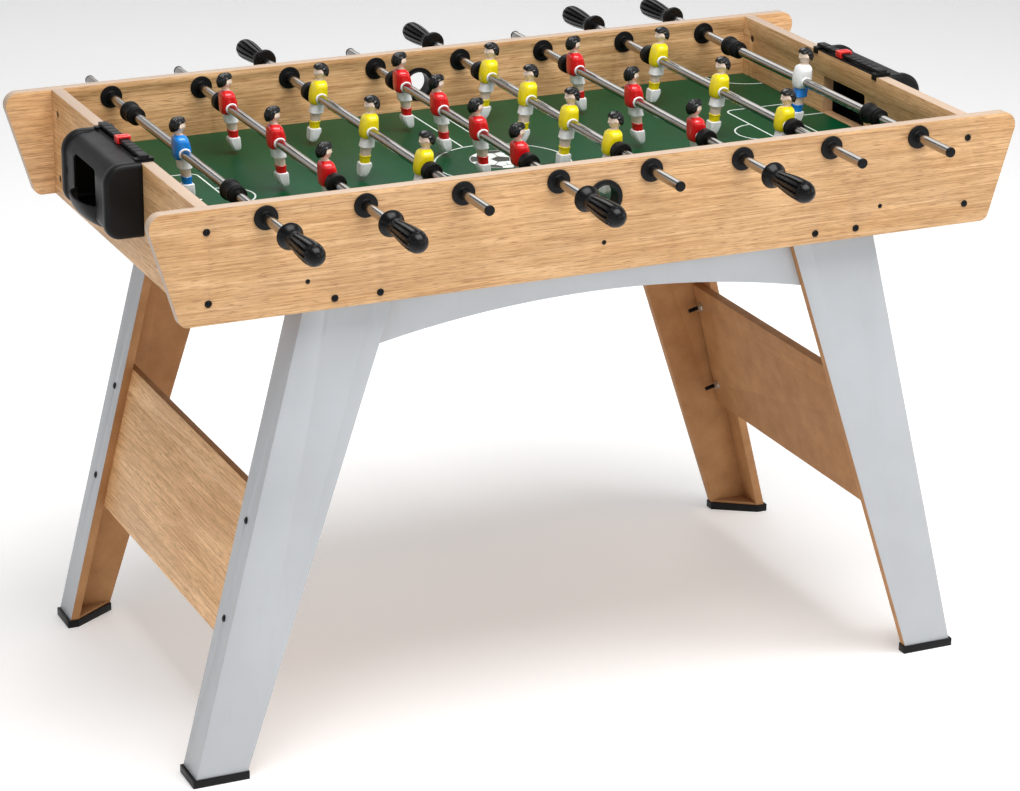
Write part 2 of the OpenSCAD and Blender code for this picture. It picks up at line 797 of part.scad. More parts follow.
side_panel(-1);  // front_side_panel
side_panel(1);  // rear_side_panel
end_panel(-1);  // left_end_panel
end_panel(1);  // right_end_panel
playfield();
field_rails();
rod_bushings();
ball_entry_cups();
goal_box(-1);  // left_goal_box
goal_box(1);  // right_goal_box
score_bars();
score_marker(-1, left_score);  // left_score_marker
score_marker(1, right_score);  // right_score_marker
leg(-1, -1);  // front_left_leg
leg(1, -1);  // front_right_leg
leg(-1, 1);  // rear_left_leg
leg(1, 1);  // rear_right_leg
foot_caps();
apron(-1);  // front_apron
apron(1);  // rear_apron
stretcher(-1);  // left_stretcher
stretcher(1);  // right_stretcher
cabinet_bolts();
barrel_nuts();
leg_bolts();
stretcher_bolts();
nuts_and_washers();
wood_screws();
for (n = [1:rods]) {
    rod_tube(n);
    rod_players(n);
    rod_handle(n);
    rod_bumpers(n);
}
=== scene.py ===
# Looks of a foosball table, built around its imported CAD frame.
# Lengths are in metres; MM turns a size in millimetres into metres.
from math import atan2, copysign, cos, exp, pi, radians, sin, sqrt

import bmesh
import bpy
from mathutils import Matrix, Vector


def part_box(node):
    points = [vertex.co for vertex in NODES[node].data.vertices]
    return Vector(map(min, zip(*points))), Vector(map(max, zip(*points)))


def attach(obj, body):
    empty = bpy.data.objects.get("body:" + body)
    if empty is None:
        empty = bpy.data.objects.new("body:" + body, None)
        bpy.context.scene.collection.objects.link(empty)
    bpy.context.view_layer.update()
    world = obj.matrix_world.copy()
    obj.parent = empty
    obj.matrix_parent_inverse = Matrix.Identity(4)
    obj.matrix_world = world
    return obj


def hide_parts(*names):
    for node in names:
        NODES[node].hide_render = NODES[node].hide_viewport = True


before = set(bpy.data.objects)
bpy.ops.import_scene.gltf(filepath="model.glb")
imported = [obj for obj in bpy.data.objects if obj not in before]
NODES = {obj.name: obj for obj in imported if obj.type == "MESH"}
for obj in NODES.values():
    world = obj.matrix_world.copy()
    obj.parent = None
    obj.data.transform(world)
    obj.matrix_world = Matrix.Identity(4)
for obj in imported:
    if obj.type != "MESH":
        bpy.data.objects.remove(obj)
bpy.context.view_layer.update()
MM = 0.001
ENDS = (-1, 1)
RODS = range(1, 9)


# ---- Places taken from the frame ----

def low(node):
    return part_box(node)[0]


def high(node):
    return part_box(node)[1]


def middle(node):
    lowest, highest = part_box(node)
    return (lowest + highest) / 2


TABLE_TOP = high("front_side_panel").z
FIELD_Z = high("playfield").z
PANEL_OUT = high("rear_side_panel").y
PANEL_IN = low("rear_side_panel").y
END_OUT = high("right_end_panel").x
END_IN = low("right_end_panel").x
ROD_R = (high("rod_1_tube").z - low("rod_1_tube").z) / 2
ROD_Z = middle("rod_1_tube").z
ROD_X = {n: middle(f"rod_{n}_tube").x for n in RODS}
HANDLE_SIDE = {n: -1 if low(f"rod_{n}_tube").y + high(f"rod_{n}_tube").y < 0 else 1 for n in RODS}
FIGURES_ON_ROD = {1: 1, 2: 3, 3: 3, 4: 4, 5: 4, 6: 3, 7: 3, 8: 1}

# ---- Sizes of the finer pieces ----

FIGURE_PITCH = {1: 0, 3: 183 * MM, 4: 130 * MM}
HANDLE_LENGTH = 97 * MM
SLEEVE_LENGTH, BUMPER_LENGTH = 34 * MM, 14 * MM
COLLAR_RISE = 1.5 * MM
BORE_R = ROD_R + 0.08 * MM
BOLT_R, BOLT_HEAD_R, BOLT_HEAD_H = 2.95 * MM, 4.75 * MM, 2.0 * MM
SCREW_HEAD_H = 1.4 * MM
BOX_FRONT = END_OUT + 50 * MM
BOX_WALL = 3 * MM
PRINT_LIFT, PRINT_DIP = 0.10 * MM, 0.02 * MM


# ---- Meshes ----

class Shape:
    """Collects vertices and faces, in metres, and becomes one mesh."""

    def __init__(self):
        self.verts = []
        self.faces = []
        self.kinds = []

    def add(self, verts, faces, place=None):
        start = len(self.verts)
        place = place or Matrix.Identity(4)
        flip = place.to_3x3().determinant() < 0
        self.verts += [place @ Vector(v) for v in verts]
        for face in faces:
            loop = [start + i for i in face]
            self.faces.append(loop[::-1] if flip else loop)
            self.kinds.append(0)
        return self

    def mesh(self, name, sharp=35):
        data = bpy.data.meshes.new(name)
        data.from_pydata([tuple(v) for v in self.verts], [], self.faces)
        data.polygons.foreach_set("material_index", self.kinds)
        data.validate()
        data.shade_smooth()
        data.set_sharp_from_angle(angle=radians(sharp))
        return data


def in_scene(name, data):
    """An object with the given data, linked to the scene."""
    obj = bpy.data.objects.new(name, data)
    bpy.context.scene.collection.objects.link(obj)
    return obj


def piece(name, body, slot, shape, sharp, materials, replaces=()):
    """A visible piece that rides on a body and takes its finish from the given materials."""
    data = shape.mesh(name, sharp)
    obj = in_scene(name, data)
    for material in materials:
        data.materials.append(material)
    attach(obj, body)
    if replaces:
        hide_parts(*replaces)


def apply_modifiers(obj, sharp=35):
    """Bakes an object's modifiers into its mesh."""
    evaluated = obj.evaluated_get(bpy.context.evaluated_depsgraph_get())
    data = bpy.data.meshes.new_from_object(evaluated)
    obj.modifiers.clear()
    obj.data = data
    data.shade_smooth()
    data.set_sharp_from_angle(angle=radians(sharp))


def arc(cx, cy, r, start, end, steps):
    """Points on an arc from one angle to another, in degrees."""
    angles = [radians(start + (end - start) * k / steps) for k in range(steps + 1)]
    return [(cx + r * cos(a), cy + r * sin(a)) for a in angles]


def around(count):
    """Each place on a closed ring, with the next one."""
    return [(k, (k + 1) % count) for k in range(count)]


def lathe(profile, segments=48, radius=None):
    """Turns (radius, height) points around Z. radius(r, h, angle) may vary the radius around."""
    verts, faces, rings = [], [], []
    for r, h in profile:
        if r <= 1e-7:
            rings.append([len(verts)])
            verts.append((0, 0, h))
            continue
        ring = []
        for k in range(segments):
            a = 2 * pi * k / segments
            here = radius(r, h, a) if radius else r
            ring.append(len(verts))
            verts.append((here * cos(a), here * sin(a), h))
        rings.append(ring)
    for one, two in zip(rings, rings[1:]):
        for k, j in around(segments):
            if len(one) == 1 and len(two) > 1:
                faces.append((one[0], two[j], two[k]))
            elif len(two) == 1 and len(one) > 1:
                faces.append((one[k], one[j], two[0]))
            elif len(one) > 1:
                faces.append((one[k], one[j], two[j], two[k]))
    return verts, faces


def loft(rings, capped=True):
    """Joins rings of equal length into a skin, and closes its ends."""
    verts = [v for ring in rings for v in ring]
    n = len(rings[0])
    faces = []
    for i in range(len(rings) - 1):
        for k, j in around(n):
            faces.append((i * n + k, i * n + j, (i + 1) * n + j, (i + 1) * n + k))
    if capped:
        faces.append(tuple(range(n))[::-1])
        faces.append(tuple((len(rings) - 1) * n + k for k in range(n)))
    return verts, faces


def oval(cx, cy, z, half_x, half_y, square=2.0, count=32):
    """A ring of points at height z; square above 2 makes it boxier."""
    ring = []
    for k in range(count):
        a = 2 * pi * k / count
        c, s = cos(a), sin(a)
        x = half_x * copysign(abs(c) ** (2 / square), c)
        y = half_y * copysign(abs(s) ** (2 / square), s)
        ring.append(Vector((cx + x, cy + y, z)))
    return ring


def place_along_y(x, y, z, direction):
    """Puts a shape drawn along +Z so that it points along +Y or -Y from a point."""
    return Matrix.Translation((x, y, z)) @ Matrix.Rotation(-pi / 2 * direction, 4, "X")


def place_along_x(x, y, z, direction):
    return Matrix.Translation((x, y, z)) @ Matrix.Rotation(pi / 2 * direction, 4, "Y")


def dress(node, body, slot, materials, choose, bevel):
    """A CAD node's own shape with eased edges, and a material chosen for each face."""
    bm = bmesh.new()
    bm.from_mesh(NODES[node].data)
    bmesh.ops.remove_doubles(bm, verts=bm.verts, dist=1e-6)
    bmesh.ops.dissolve_limit(bm, angle_limit=radians(0.5), verts=bm.verts, edges=bm.edges)
    bm.normal_update()
    for face in bm.faces:
        face.material_index = choose(face.calc_center_median(), face.normal)
    sharp = [e for e in bm.edges if len(e.link_faces) == 2 and e.calc_face_angle() > radians(30)]
    bmesh.ops.bevel(bm, geom=sharp, offset=bevel, segments=2, profile=0.5, affect="EDGES", clamp_overlap=True)
    shape = Shape()
    bm.verts.index_update()
    shape.add([v.co.copy() for v in bm.verts], [[v.index for v in f.verts] for f in bm.faces])
    shape.kinds = [f.material_index for f in bm.faces]
    bm.free()
    name = node + "_finished"
    piece(name, body, slot, shape, 40, materials, [node])


# ---- Materials ----

class Surface:
    """One procedural material: a Principled shader, with nodes for its colour, roughness and bump."""

    def __init__(self, name, **sockets):
        self.material = bpy.data.materials.new(name)
        self.material.use_nodes = True
        self.tree = self.material.node_tree
        self.tree.nodes.clear()
        out = self.tree.nodes.new("ShaderNodeOutputMaterial")
        self.shader = self.tree.nodes.new("ShaderNodeBsdfPrincipled")
        self.tree.links.new(self.shader.outputs[0], out.inputs[0])
        for socket, value in sockets.items():
            self.shader.inputs[socket.replace("_", " ")].default_value = value
        self.place = self.tree.nodes.new("ShaderNodeTexCoord").outputs["Object"]

    def node(self, kind, source, socket="Vector", **values):
        """A new node fed by a source. An underscore in an input's name stands for a space."""
        node = self.tree.nodes.new("ShaderNode" + kind)
        for name, value in values.items():
            node.inputs[name.replace("_", " ")].default_value = value
        self.tree.links.new(source, node.inputs[socket])
        return node

    def stretch(self, scale, turn=(0, 0, 0)):
        """Coordinates turned by degrees, then scaled."""
        turned = self.node("Mapping", self.place, Rotation=[radians(a) for a in turn])
        return self.node("Mapping", turned.outputs[0], Scale=scale).outputs[0]

    def noise(self, at, scale, detail=3.0, roughness=0.5, distortion=0.0):
        return self.node("TexNoise", at, Scale=scale, Detail=detail, Roughness=roughness,
                         Distortion=distortion).outputs["Fac"]

    def rings(self, at, scale, distortion, detail, detail_scale):
        node = self.node("TexWave", at, Scale=scale, Distortion=distortion, Detail=detail,
                         Detail_Scale=detail_scale)
        node.wave_type = "BANDS"
        node.bands_direction = "Y"
        return node.outputs["Fac"]

    def ramp(self, value, *stops):
        node = self.tree.nodes.new("ShaderNodeValToRGB")
        ramp = node.color_ramp
        while len(ramp.elements) < len(stops):
            ramp.elements.new(1.0)
        for element, (place, colour) in zip(ramp.elements, stops):
            element.position = place
            shade = colour if hasattr(colour, "__len__") else (colour,) * 3
            element.color = (*shade, 1)
        self.tree.links.new(value, node.inputs["Fac"])
        return node.outputs["Color"]

    def mix(self, share, one, two):
        node = self.tree.nodes.new("ShaderNodeMix")
        node.data_type = "RGBA"
        for socket, value in ((0, share), (6, one), (7, two)):
            if hasattr(value, "default_value"):
                self.tree.links.new(value, node.inputs[socket])
            elif socket == 0:
                node.inputs[socket].default_value = value
            else:
                node.inputs[socket].default_value = (*value, 1)
        return node.outputs[2]

    def spread(self, value, lowest, highest):
        return self.node("MapRange", value, "Value", To_Min=lowest, To_Max=highest).outputs["Result"]

    def patches(self, value, start, stop, most):
        """A mask that goes from nothing at start to most at stop; stop may lie below start."""
        return self.spread(self.ramp(value, *sorted([(start, 0.0), (stop, 1.0)])), 0.0, most)

    def bump(self, height, depth, strength, after=None):
        node = self.node("Bump", height, "Height", Strength=strength, Distance=depth)
        if after:
            self.tree.links.new(after, node.inputs["Normal"])
        return node.outputs["Normal"]

    def use(self, colour, roughness, normal=None):
        for socket, value in (("Base Color", colour), ("Roughness", roughness), ("Normal", normal)):
            if value is not None:
                self.tree.links.new(value, self.shader.inputs[socket])
        return self.material


def times(colour, k):
    """A colour made lighter or darker."""
    return tuple(c * k for c in colour)


def oak(name, turn, shade=1.0):
    """Oak-pattern laminate. turn lays the grain, drawn along X, along the board. shade scales every colour; a
    shade above 1 is painted light.
    """
    s = Surface(name, Specular_IOR_Level=0.42)
    tint = lambda r, g, b: (r * 1.05 * shade, g * 0.97 * shade, b * 0.90 * shade)
    along = s.stretch((1.0, 9.0, 9.0), turn)
    broad = s.noise(along, 5.0, 2.0, 0.5, 0.4)
    figure = s.rings(s.stretch((2.4, 11.0, 11.0), turn), 6.5, 9.0, 3.0, 1.2)
    streaks = s.noise(s.stretch((9.0, 480.0, 480.0), turn), 1.0, 3.0, 0.60, 0.35)
    pores = s.noise(s.stretch((45.0, 1100.0, 1100.0), turn), 1.0, 2.0, 0.55, 0.1)
    base = s.ramp(broad, (0.30, tint(0.62, 0.385, 0.185)), (0.70, tint(0.80, 0.545, 0.300)))
    banded = s.mix(s.spread(figure, 0.0, 0.30), base, tint(0.53, 0.305, 0.130))
    streaked = s.mix(s.patches(streaks, 0.53, 0.36, 0.66), banded, tint(0.42, 0.225, 0.090))
    lit = s.mix(s.patches(streaks, 0.58, 0.74, 0.50), streaked, tint(0.95, 0.70, 0.43))
    colour = s.mix(s.patches(pores, 0.44, 0.34, 0.85), lit, tint(0.33, 0.17, 0.07))
    normal = s.bump(streaks, 0.00010, 0.5, s.bump(pores, 0.00012, 0.5))
    return s.use(colour, s.spread(streaks, 0.50, 0.36), normal)


def board(name, light, dark, roughness=0.62):
    """Pressed fibre board: fine mottled fibres and a slightly fuzzy surface."""
    s = Surface(name, Specular_IOR_Level=0.3)
    cloud = s.noise(s.place, 22.0, 3.0, 0.6)
    fibre = s.noise(s.stretch((1.0, 1.0, 2.2)), 620.0, 3.0, 0.7, 0.5)
    base = s.ramp(cloud, (0.32, dark), (0.68, light))
    colour = s.mix(s.patches(fibre, 0.52, 0.34, 0.38), base, times(dark, 0.55))
    return s.use(colour, s.spread(fibre, roughness + 0.08, roughness - 0.08), s.bump(fibre, 0.00015, 0.5))


def laminate(name, colour, roughness=0.42):
    """Plain satin laminate with the faint orange peel and clouding of a pressed sheet."""
    s = Surface(name, Specular_IOR_Level=0.45)
    cloud = s.noise(s.place, 7.0, 3.0, 0.55)
    peel = s.noise(s.place, 900.0, 2.0, 0.5)
    marks = s.noise(s.stretch((30.0, 30.0, 4.0)), 3.0, 4.0, 0.7)
    pale = tuple(min(1, c) for c in times(colour, 1.04))
    base = s.ramp(cloud, (0.30, times(colour, 0.95)), (0.72, pale))
    tone = s.mix(s.patches(marks, 0.60, 0.72, 0.10), base, times(colour, 0.7))
    return s.use(tone, s.spread(marks, roughness + 0.07, roughness - 0.06), s.bump(peel, 0.00004, 0.35))


def moulded(name, colour, roughness, grain=0.00006, grain_scale=1400.0, worn=0.18, coat=0.0, specular=0.4):
    """Moulded plastic or rubber: fine spark grain, soft cloudy gloss, and rubbed patches."""
    s = Surface(name, Specular_IOR_Level=specular, Coat_Weight=coat, Coat_Roughness=0.12)
    cloud = s.noise(s.place, 34.0, 3.0, 0.6)
    rubbed = s.patches(s.noise(s.place, 85.0, 4.0, 0.7), 0.55, 0.78, worn)
    spark = s.noise(s.place, grain_scale, 2.0, 0.5)
    pale = tuple(min(1.0, c * 1.3 + 0.002) for c in colour)
    base = s.ramp(cloud, (0.30, colour), (0.75, pale))
    tone = s.mix(rubbed, base, tuple(min(1.0, c * 1.6 + 0.012) for c in colour))
    gloss = s.spread(cloud, max(0.05, roughness - 0.07), roughness + 0.08)
    return s.use(tone, gloss, s.bump(spark, grain, 0.5))


def painted(name, colour, roughness=0.24, coat=0.35):
    """Glossy painted plastic with slightly uneven cover and tiny rub marks."""
    s = Surface(name, Specular_IOR_Level=0.5, Coat_Weight=coat, Coat_Roughness=0.08)
    cover = s.noise(s.place, 150.0, 3.0, 0.6)
    marks = s.patches(s.noise(s.place, 420.0, 3.0, 0.7), 0.66, 0.80, 0.12)
    base = s.ramp(cover, (0.28, times(colour, 0.88)), (0.70, colour))
    tone = s.mix(marks, base, tuple(c * 0.7 + 0.02 for c in colour))
    return s.use(tone, s.spread(cover, roughness + 0.08, roughness - 0.05), s.bump(cover, 0.00005, 0.4))


def steel(name, colour, roughness):
    """Polished tube: faint drawing lines along it and cloudy handling marks."""
    s = Surface(name, Metallic=1.0)
    lines = s.noise(s.stretch((4.0, 1500.0, 1500.0), (0, 0, 90)), 1.0, 2.0, 0.5)
    smudge = s.noise(s.place, 30.0, 4.0, 0.65)
    base = s.ramp(smudge, (0.30, times(colour, 0.86)), (0.70, colour))
    tone = s.mix(s.spread(lines, 0.0, 0.22), base, times(colour, 0.6))
    return s.use(tone, s.spread(smudge, roughness - 0.04, roughness + 0.09), s.bump(lines, 0.00002, 0.35))


def turf(name, deep, pale):
    """Printed field: matt green sheet with a fine print grain and slow shading along it."""
    s = Surface(name, Specular_IOR_Level=0.08)
    slow = s.noise(s.stretch((2.0, 3.0, 1.0)), 2.2, 2.0, 0.5)
    print_grain = s.noise(s.place, 1700.0, 1.0, 0.5)
    scuffs = s.noise(s.stretch((60.0, 5.0, 1.0)), 6.0, 4.0, 0.7)
    base = s.ramp(slow, (0.30, deep), (0.70, pale))
    dots = s.mix(s.spread(print_grain, 0.0, 0.18), base, times(deep, 0.62))
    tone = s.mix(s.patches(scuffs, 0.62, 0.74, 0.10), dots, times(pale, 1.5))
    return s.use(tone, s.spread(scuffs, 0.46, 0.34), s.bump(print_grain, 0.00003, 0.3))


OAK_X = oak("oak_along_table", (0, 0, 0))
OAK_Y = oak("oak_across_table", (0, 0, -90))
# The stretchers get a copy of the oak made 1.26 times brighter: painted light that stands in for the extra
# light on their outer faces.
OAK_STRETCHER_PAINTED_LIGHT = oak("oak_stretcher_painted_light", (0, 0, -90), 1.26)
EDGE_BAND = laminate("edge_band", (0.52, 0.385, 0.285), 0.50)
BOARD_FACE = board("board_face", (0.53, 0.275, 0.115), (0.41, 0.200, 0.077))
BOARD_EDGE = board("board_edge", (0.50, 0.30, 0.155), (0.38, 0.215, 0.105), 0.7)
GREY = laminate("grey_laminate", (0.495, 0.515, 0.540), 0.40)
BLACK = moulded("black_plastic", (0.004, 0.004, 0.0045), 0.42, worn=0.04, specular=0.20)
HANDLE_BLACK = moulded("handle_plastic", (0.0035, 0.0035, 0.004), 0.27, 0.00003, 1800.0, 0.03, specular=0.20)
RUBBER = moulded("black_rubber", (0.004, 0.004, 0.004), 0.48, 0.00008, 1100.0, 0.05, specular=0.16)
BOLT_BLACK = moulded("bolt_finish", (0.003, 0.003, 0.0035), 0.30, 0.00003, 1500.0, 0.04, 0.0, 0.22)
CHROME = steel("rod_steel", (0.45, 0.43, 0.41), 0.15)
ZINC = steel("zinc_plate", (0.72, 0.71, 0.68), 0.34)
GREEN = turf("printed_field", (0.002, 0.058, 0.020), (0.004, 0.074, 0.028))
LINE_WHITE = painted("line_print", (0.74, 0.80, 0.76), 0.42, 0.0)
BALL_BLACK = painted("ball_print", (0.02, 0.03, 0.025), 0.42, 0.0)
MARKER_RED = painted("marker_red", (0.80, 0.020, 0.016), 0.30)
SKIN = painted("figure_skin", (0.96, 0.76, 0.62), 0.28)
HAIR = painted("figure_hair", (0.0015, 0.0015, 0.002), 0.28, 0.06)
WHITE = painted("figure_white", (0.97, 0.975, 0.98), 0.24)
RED = painted("figure_red", (0.80, 0.010, 0.014), 0.20)
YELLOW = painted("figure_yellow", (0.98, 0.79, 0.004), 0.22)
BLUE = painted("figure_blue", (0.010, 0.25, 0.80), 0.20)


# ---- Boards ----

def finish_boards():
    def by_axis(axis):
        return lambda centre, normal: 0 if abs(normal[axis]) > 0.5 else 1

    def end_panel_face(centre, normal):
        top = normal.z > 0.9 and centre.z > TABLE_TOP - 1 * MM
        return 0 if abs(normal.x) > 0.5 else 2 if top else 1

    def outer_inner_edge(axis, side, limit):
        """Faces that look outward, faces that look inward, and edges."""
        def choose(centre, normal):
            return 0 if normal[axis] * side > limit else 1 if abs(normal[axis]) > limit else 2
        return choose

    for node in ("front_side_panel", "rear_side_panel"):
        dress(node, "table", "oak_laminate", [OAK_X, EDGE_BAND], by_axis(1), 0.7 * MM)
    for node in ("left_end_panel", "right_end_panel"):
        dress(node, "table", "oak_laminate", [OAK_Y, BOARD_EDGE, EDGE_BAND], end_panel_face, 0.5 * MM)
    for end, node in ((-1, "left_stretcher"), (1, "right_stretcher")):
        dress(node, "table", "oak_laminate", [OAK_STRETCHER_PAINTED_LIGHT, BOARD_FACE, BOARD_EDGE],
              outer_inner_edge(0, end, 0.8), 0.5 * MM)
    for side, node in ((-1, "front_apron"), (1, "rear_apron")):
        dress(node, "table", "grey_laminate", [GREY, BOARD_FACE, EDGE_BAND],
              outer_inner_edge(1, side, 0.5), 0.4 * MM)


def finish_legs():
    for side, depth in ((-1, "front"), (1, "rear")):
        for end, hand in ((-1, "left"), (1, "right")):
            def choose(centre, normal, side=side, end=end):
                outward = normal.y * side > 0.8 and abs(centre.y) > PANEL_IN - 1 * MM
                outer = normal.x * end > 0.8
                inner_faces = normal.y * side < -0.8 or normal.x * end < -0.8
                return 0 if outward or outer else 1 if inner_faces else 2
            dress(f"{depth}_{hand}_leg", "table", "grey_laminate", [GREY, BOARD_FACE, BOARD_EDGE],
                  choose, 0.6 * MM)


def finish_small_parts():
    for node, body, slot, material, bevel in (
            ("foot_caps", "table", "black_plastic", BLACK, 0.8 * MM),
            ("score_bars", "table", "black_plastic", BLACK, 0.5 * MM),
            ("left_score_marker", "left_marker", "red_marker", MARKER_RED, 0.7 * MM),
            ("right_score_marker", "right_marker", "red_marker", MARKER_RED, 0.7 * MM)):
        dress(node, body, slot, [material], lambda centre, normal: 0, bevel)
    plain = [("field_rails", BOARD_FACE), ("barrel_nuts", BOLT_BLACK), ("nuts_and_washers", ZINC)]
    for node, material in plain + [(f"rod_{n}_tube", CHROME) for n in RODS]:
        data = NODES[node].data
        data.materials.clear()
        data.materials.append(material)


# ---- Turned parts ----

def lined_hole_profile(bore, sleeve, flange, length, flange_t):
    """Half section of a flanged sleeve along its axis: flange at height 0, sleeve below it."""
    ease = 0.9 * MM
    return ([(bore, -length), (bore, flange_t + 0.6 * MM)]
            + arc(bore + 1.6 * MM, flange_t + 0.6 * MM, 0.7 * MM, 150, 30, 5)
            + [(bore + 2.6 * MM, flange_t - 0.3 * MM)]
            + arc(flange - ease, flange_t - 1.1 * MM, ease, 90, 0, 6)
            + [(flange, 0), (sleeve, 0), (sleeve, -length)])


def lined_holes(name, node, bore, sleeve, flange, flange_t, places):
    """Flanged bushings from outside each panel, with slightly thinner rings on the inner face."""
    shape = Shape()
    depth = (PANEL_OUT - PANEL_IN) / 2
    outside = lathe(lined_hole_profile(bore, sleeve, flange, depth, flange_t), 56)
    inside = lathe(lined_hole_profile(bore, sleeve, flange, depth, flange_t - 0.9 * MM), 56)
    for x, z in places:
        for side in ENDS:
            shape.add(*outside, place_along_y(x, side * PANEL_OUT, z, side))
            shape.add(*inside, place_along_y(x, side * PANEL_IN, z, -side))
    piece(name, "table", "black_plastic", shape, 32, [BLACK], [node])


def bushings():
    lowest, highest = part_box("rod_bushings")
    flange = (highest.z - lowest.z) / 2
    flange_t = highest.y - PANEL_OUT
    lined_holes("rod_bushing_rings", "rod_bushings", BORE_R, 10 * MM, flange, flange_t - 0.4 * MM,
                [(ROD_X[n], ROD_Z) for n in RODS])
    entry = middle("ball_entry_cups")
    flange = (high("ball_entry_cups") - entry).z
    lined_holes("ball_entry_rings", "ball_entry_cups", 17.5 * MM, 20 * MM, flange, 2.5 * MM,
                [(entry.x, entry.z)])


def bumper_profile(length, r):
    """A soft sleeve with rounded ends and a slight waist."""
    ease = 2.0 * MM
    return ([(BORE_R, 0), (BORE_R, length)] + arc(r - ease, length - ease, ease, 90, 0, 6)
            + [(r - 0.5 * MM, length * 0.5)] + arc(r - ease, ease, ease, 0, -90, 6) + [(BORE_R, 0)])


def stepped_profile(length, r):
    """A goalkeeper's sleeve: a wide collar at the top end, a body, and a stepped nose at height 0."""
    collar, ease = r + COLLAR_RISE, 1.6 * MM
    shoulder = length - 6 * MM
    return ([(BORE_R, 0), (BORE_R, length)] + arc(collar - ease, length - ease, ease, 90, 0, 6)
            + arc(collar - ease, shoulder + ease, ease, 0, -60, 4)
            + [(r, shoulder - 0.8 * MM), (r - 0.2 * MM, 9.5 * MM)]
            + arc(r - 1.6 * MM, 9.5 * MM, 1.4 * MM, 0, -80, 5)
            + [(r - 2.6 * MM, 7.4 * MM), (r - 2.6 * MM, 4.2 * MM)]
            + arc(r - 1.9 * MM, 2.1 * MM, 1.5 * MM, 60, -90, 8)
            + [(BORE_R + 0.6 * MM, 0.4 * MM), (BORE_R, 0)])


def bumpers():
    for n in RODS:
        node = f"rod_{n}_bumpers"
        lowest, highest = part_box(node)
        goalkeeper = FIGURES_ON_ROD[n] == 1
        length = SLEEVE_LENGTH if goalkeeper else BUMPER_LENGTH
        r = (highest.z - lowest.z) / 2 - (COLLAR_RISE if goalkeeper else 0)
        shape = Shape()
        for side in ENDS:
            if goalkeeper:
                start = highest.y - length if side > 0 else -highest.y
                shape.add(*lathe(stepped_profile(length, r), 56), place_along_y(ROD_X[n], start, ROD_Z, 1))
            else:
                start = side * (highest.y - length)
                shape.add(*lathe(bumper_profile(length, r), 56), place_along_y(ROD_X[n], start, ROD_Z, side))
        piece(f"rod_{n}_bumper_sleeves", f"rod_{n}_stops", "black_rubber", shape, 40, [RUBBER], [node])


# ---- Bolts and screws ----

def domed_head(r, height, recess):
    """A domed bolt head with a cross recess pressed into it."""
    rings, segments = 14, 48
    verts, faces = [(0, 0, height - recess)], []
    arm = r * 0.13
    reach = r * 0.55
    for i in range(1, rings + 1):
        rho = r * sin(pi / 2 * i / rings)
        for k in range(segments):
            a = 2 * pi * k / segments
            x, y = rho * cos(a), rho * sin(a)
            z = height * sqrt(max(0.0, 1 - (rho / r) ** 2.4))
            if min(abs(x), abs(y)) < arm and max(abs(x), abs(y)) < reach:
                z -= recess
            verts.append((x, y, z))
    faces += [(0, 1 + k, 1 + j) for k, j in around(segments)]
    for i in range(rings - 1):
        a, b = 1 + i * segments, 1 + (i + 1) * segments
        for k, j in around(segments):
            faces.append((a + k, b + k, b + j, a + j))
    last = 1 + (rings - 1) * segments
    skirt = len(verts)
    verts += [(x, y, -0.3 * MM) for x, y, z in verts[last:last + segments]]
    for k, j in around(segments):
        faces.append((last + k, skirt + k, skirt + j, last + j))
    return verts, faces


def threaded_end(r, start, length):
    """The visible end of a machine bolt: rounded threads and a bevelled tip."""
    pitch = 1.0 * MM
    turns = int(length / pitch)
    profile = [(0, start + length), (r - 0.7 * MM, start + length), (r, start + length - 0.8 * MM)]
    for k in range(turns - 1):
        top = start + length - 0.8 * MM - k * pitch
        profile += [(r, top - 0.2 * pitch), (r - 0.45 * MM, top - 0.55 * pitch), (r, top - 0.9 * pitch)]
    profile += [(r - 0.2 * MM, start), (0, start)]
    return lathe(profile[::-1], 28)


def bolt(shape, head, inward, length, thread):
    """A domed head, a smooth shank and a threaded end, at a head's place and its inward place."""
    plain = length - thread
    shape.add(*domed_head(BOLT_HEAD_R, BOLT_HEAD_H, 0.9 * MM), head)
    shape.add(*lathe([(0, 0), (BOLT_R, 0), (BOLT_R, plain), (0, plain)], 28), inward)
    shape.add(*threaded_end(BOLT_R, plain, thread), inward)


def islands(node):
    """The low and high corners of each separate solid of a CAD node."""
    data = NODES[node].data
    owner = list(range(len(data.vertices)))

    def root(i):
        while owner[i] != i:
            owner[i] = owner[owner[i]]
            i = owner[i]
        return i
    places = {}
    for v in data.vertices:
        key = tuple(round(c, 6) for c in v.co)
        owner[root(v.index)] = root(places.setdefault(key, v.index))
    for e in data.edges:
        owner[root(e.vertices[0])] = root(e.vertices[1])
    groups = {}
    for v in data.vertices:
        groups.setdefault(root(v.index), []).append(v.co)
    boxes = []
    for points in groups.values():
        boxes.append((Vector(min(p[i] for p in points) for i in range(3)),
                      Vector(max(p[i] for p in points) for i in range(3))))
    return sorted(boxes, key=lambda b: tuple(round(c, 4) for c in b[0]))


def panel_bolts(name, node):
    """Domed heads on the side panels, with the threaded ends that reach past them."""
    shape = Shape()
    for lowest, highest in islands(node):
        centre = (lowest + highest) / 2
        side = 1 if centre.y > 0 else -1
        length = highest.y - lowest.y - BOLT_HEAD_H
        head, inward = (place_along_y(centre.x, side * PANEL_OUT, centre.z, way) for way in (side, -side))
        bolt(shape, head, inward, length, 10 * MM)
    piece(name, "table", "black_bolt", shape, 30, [BOLT_BLACK], [node])


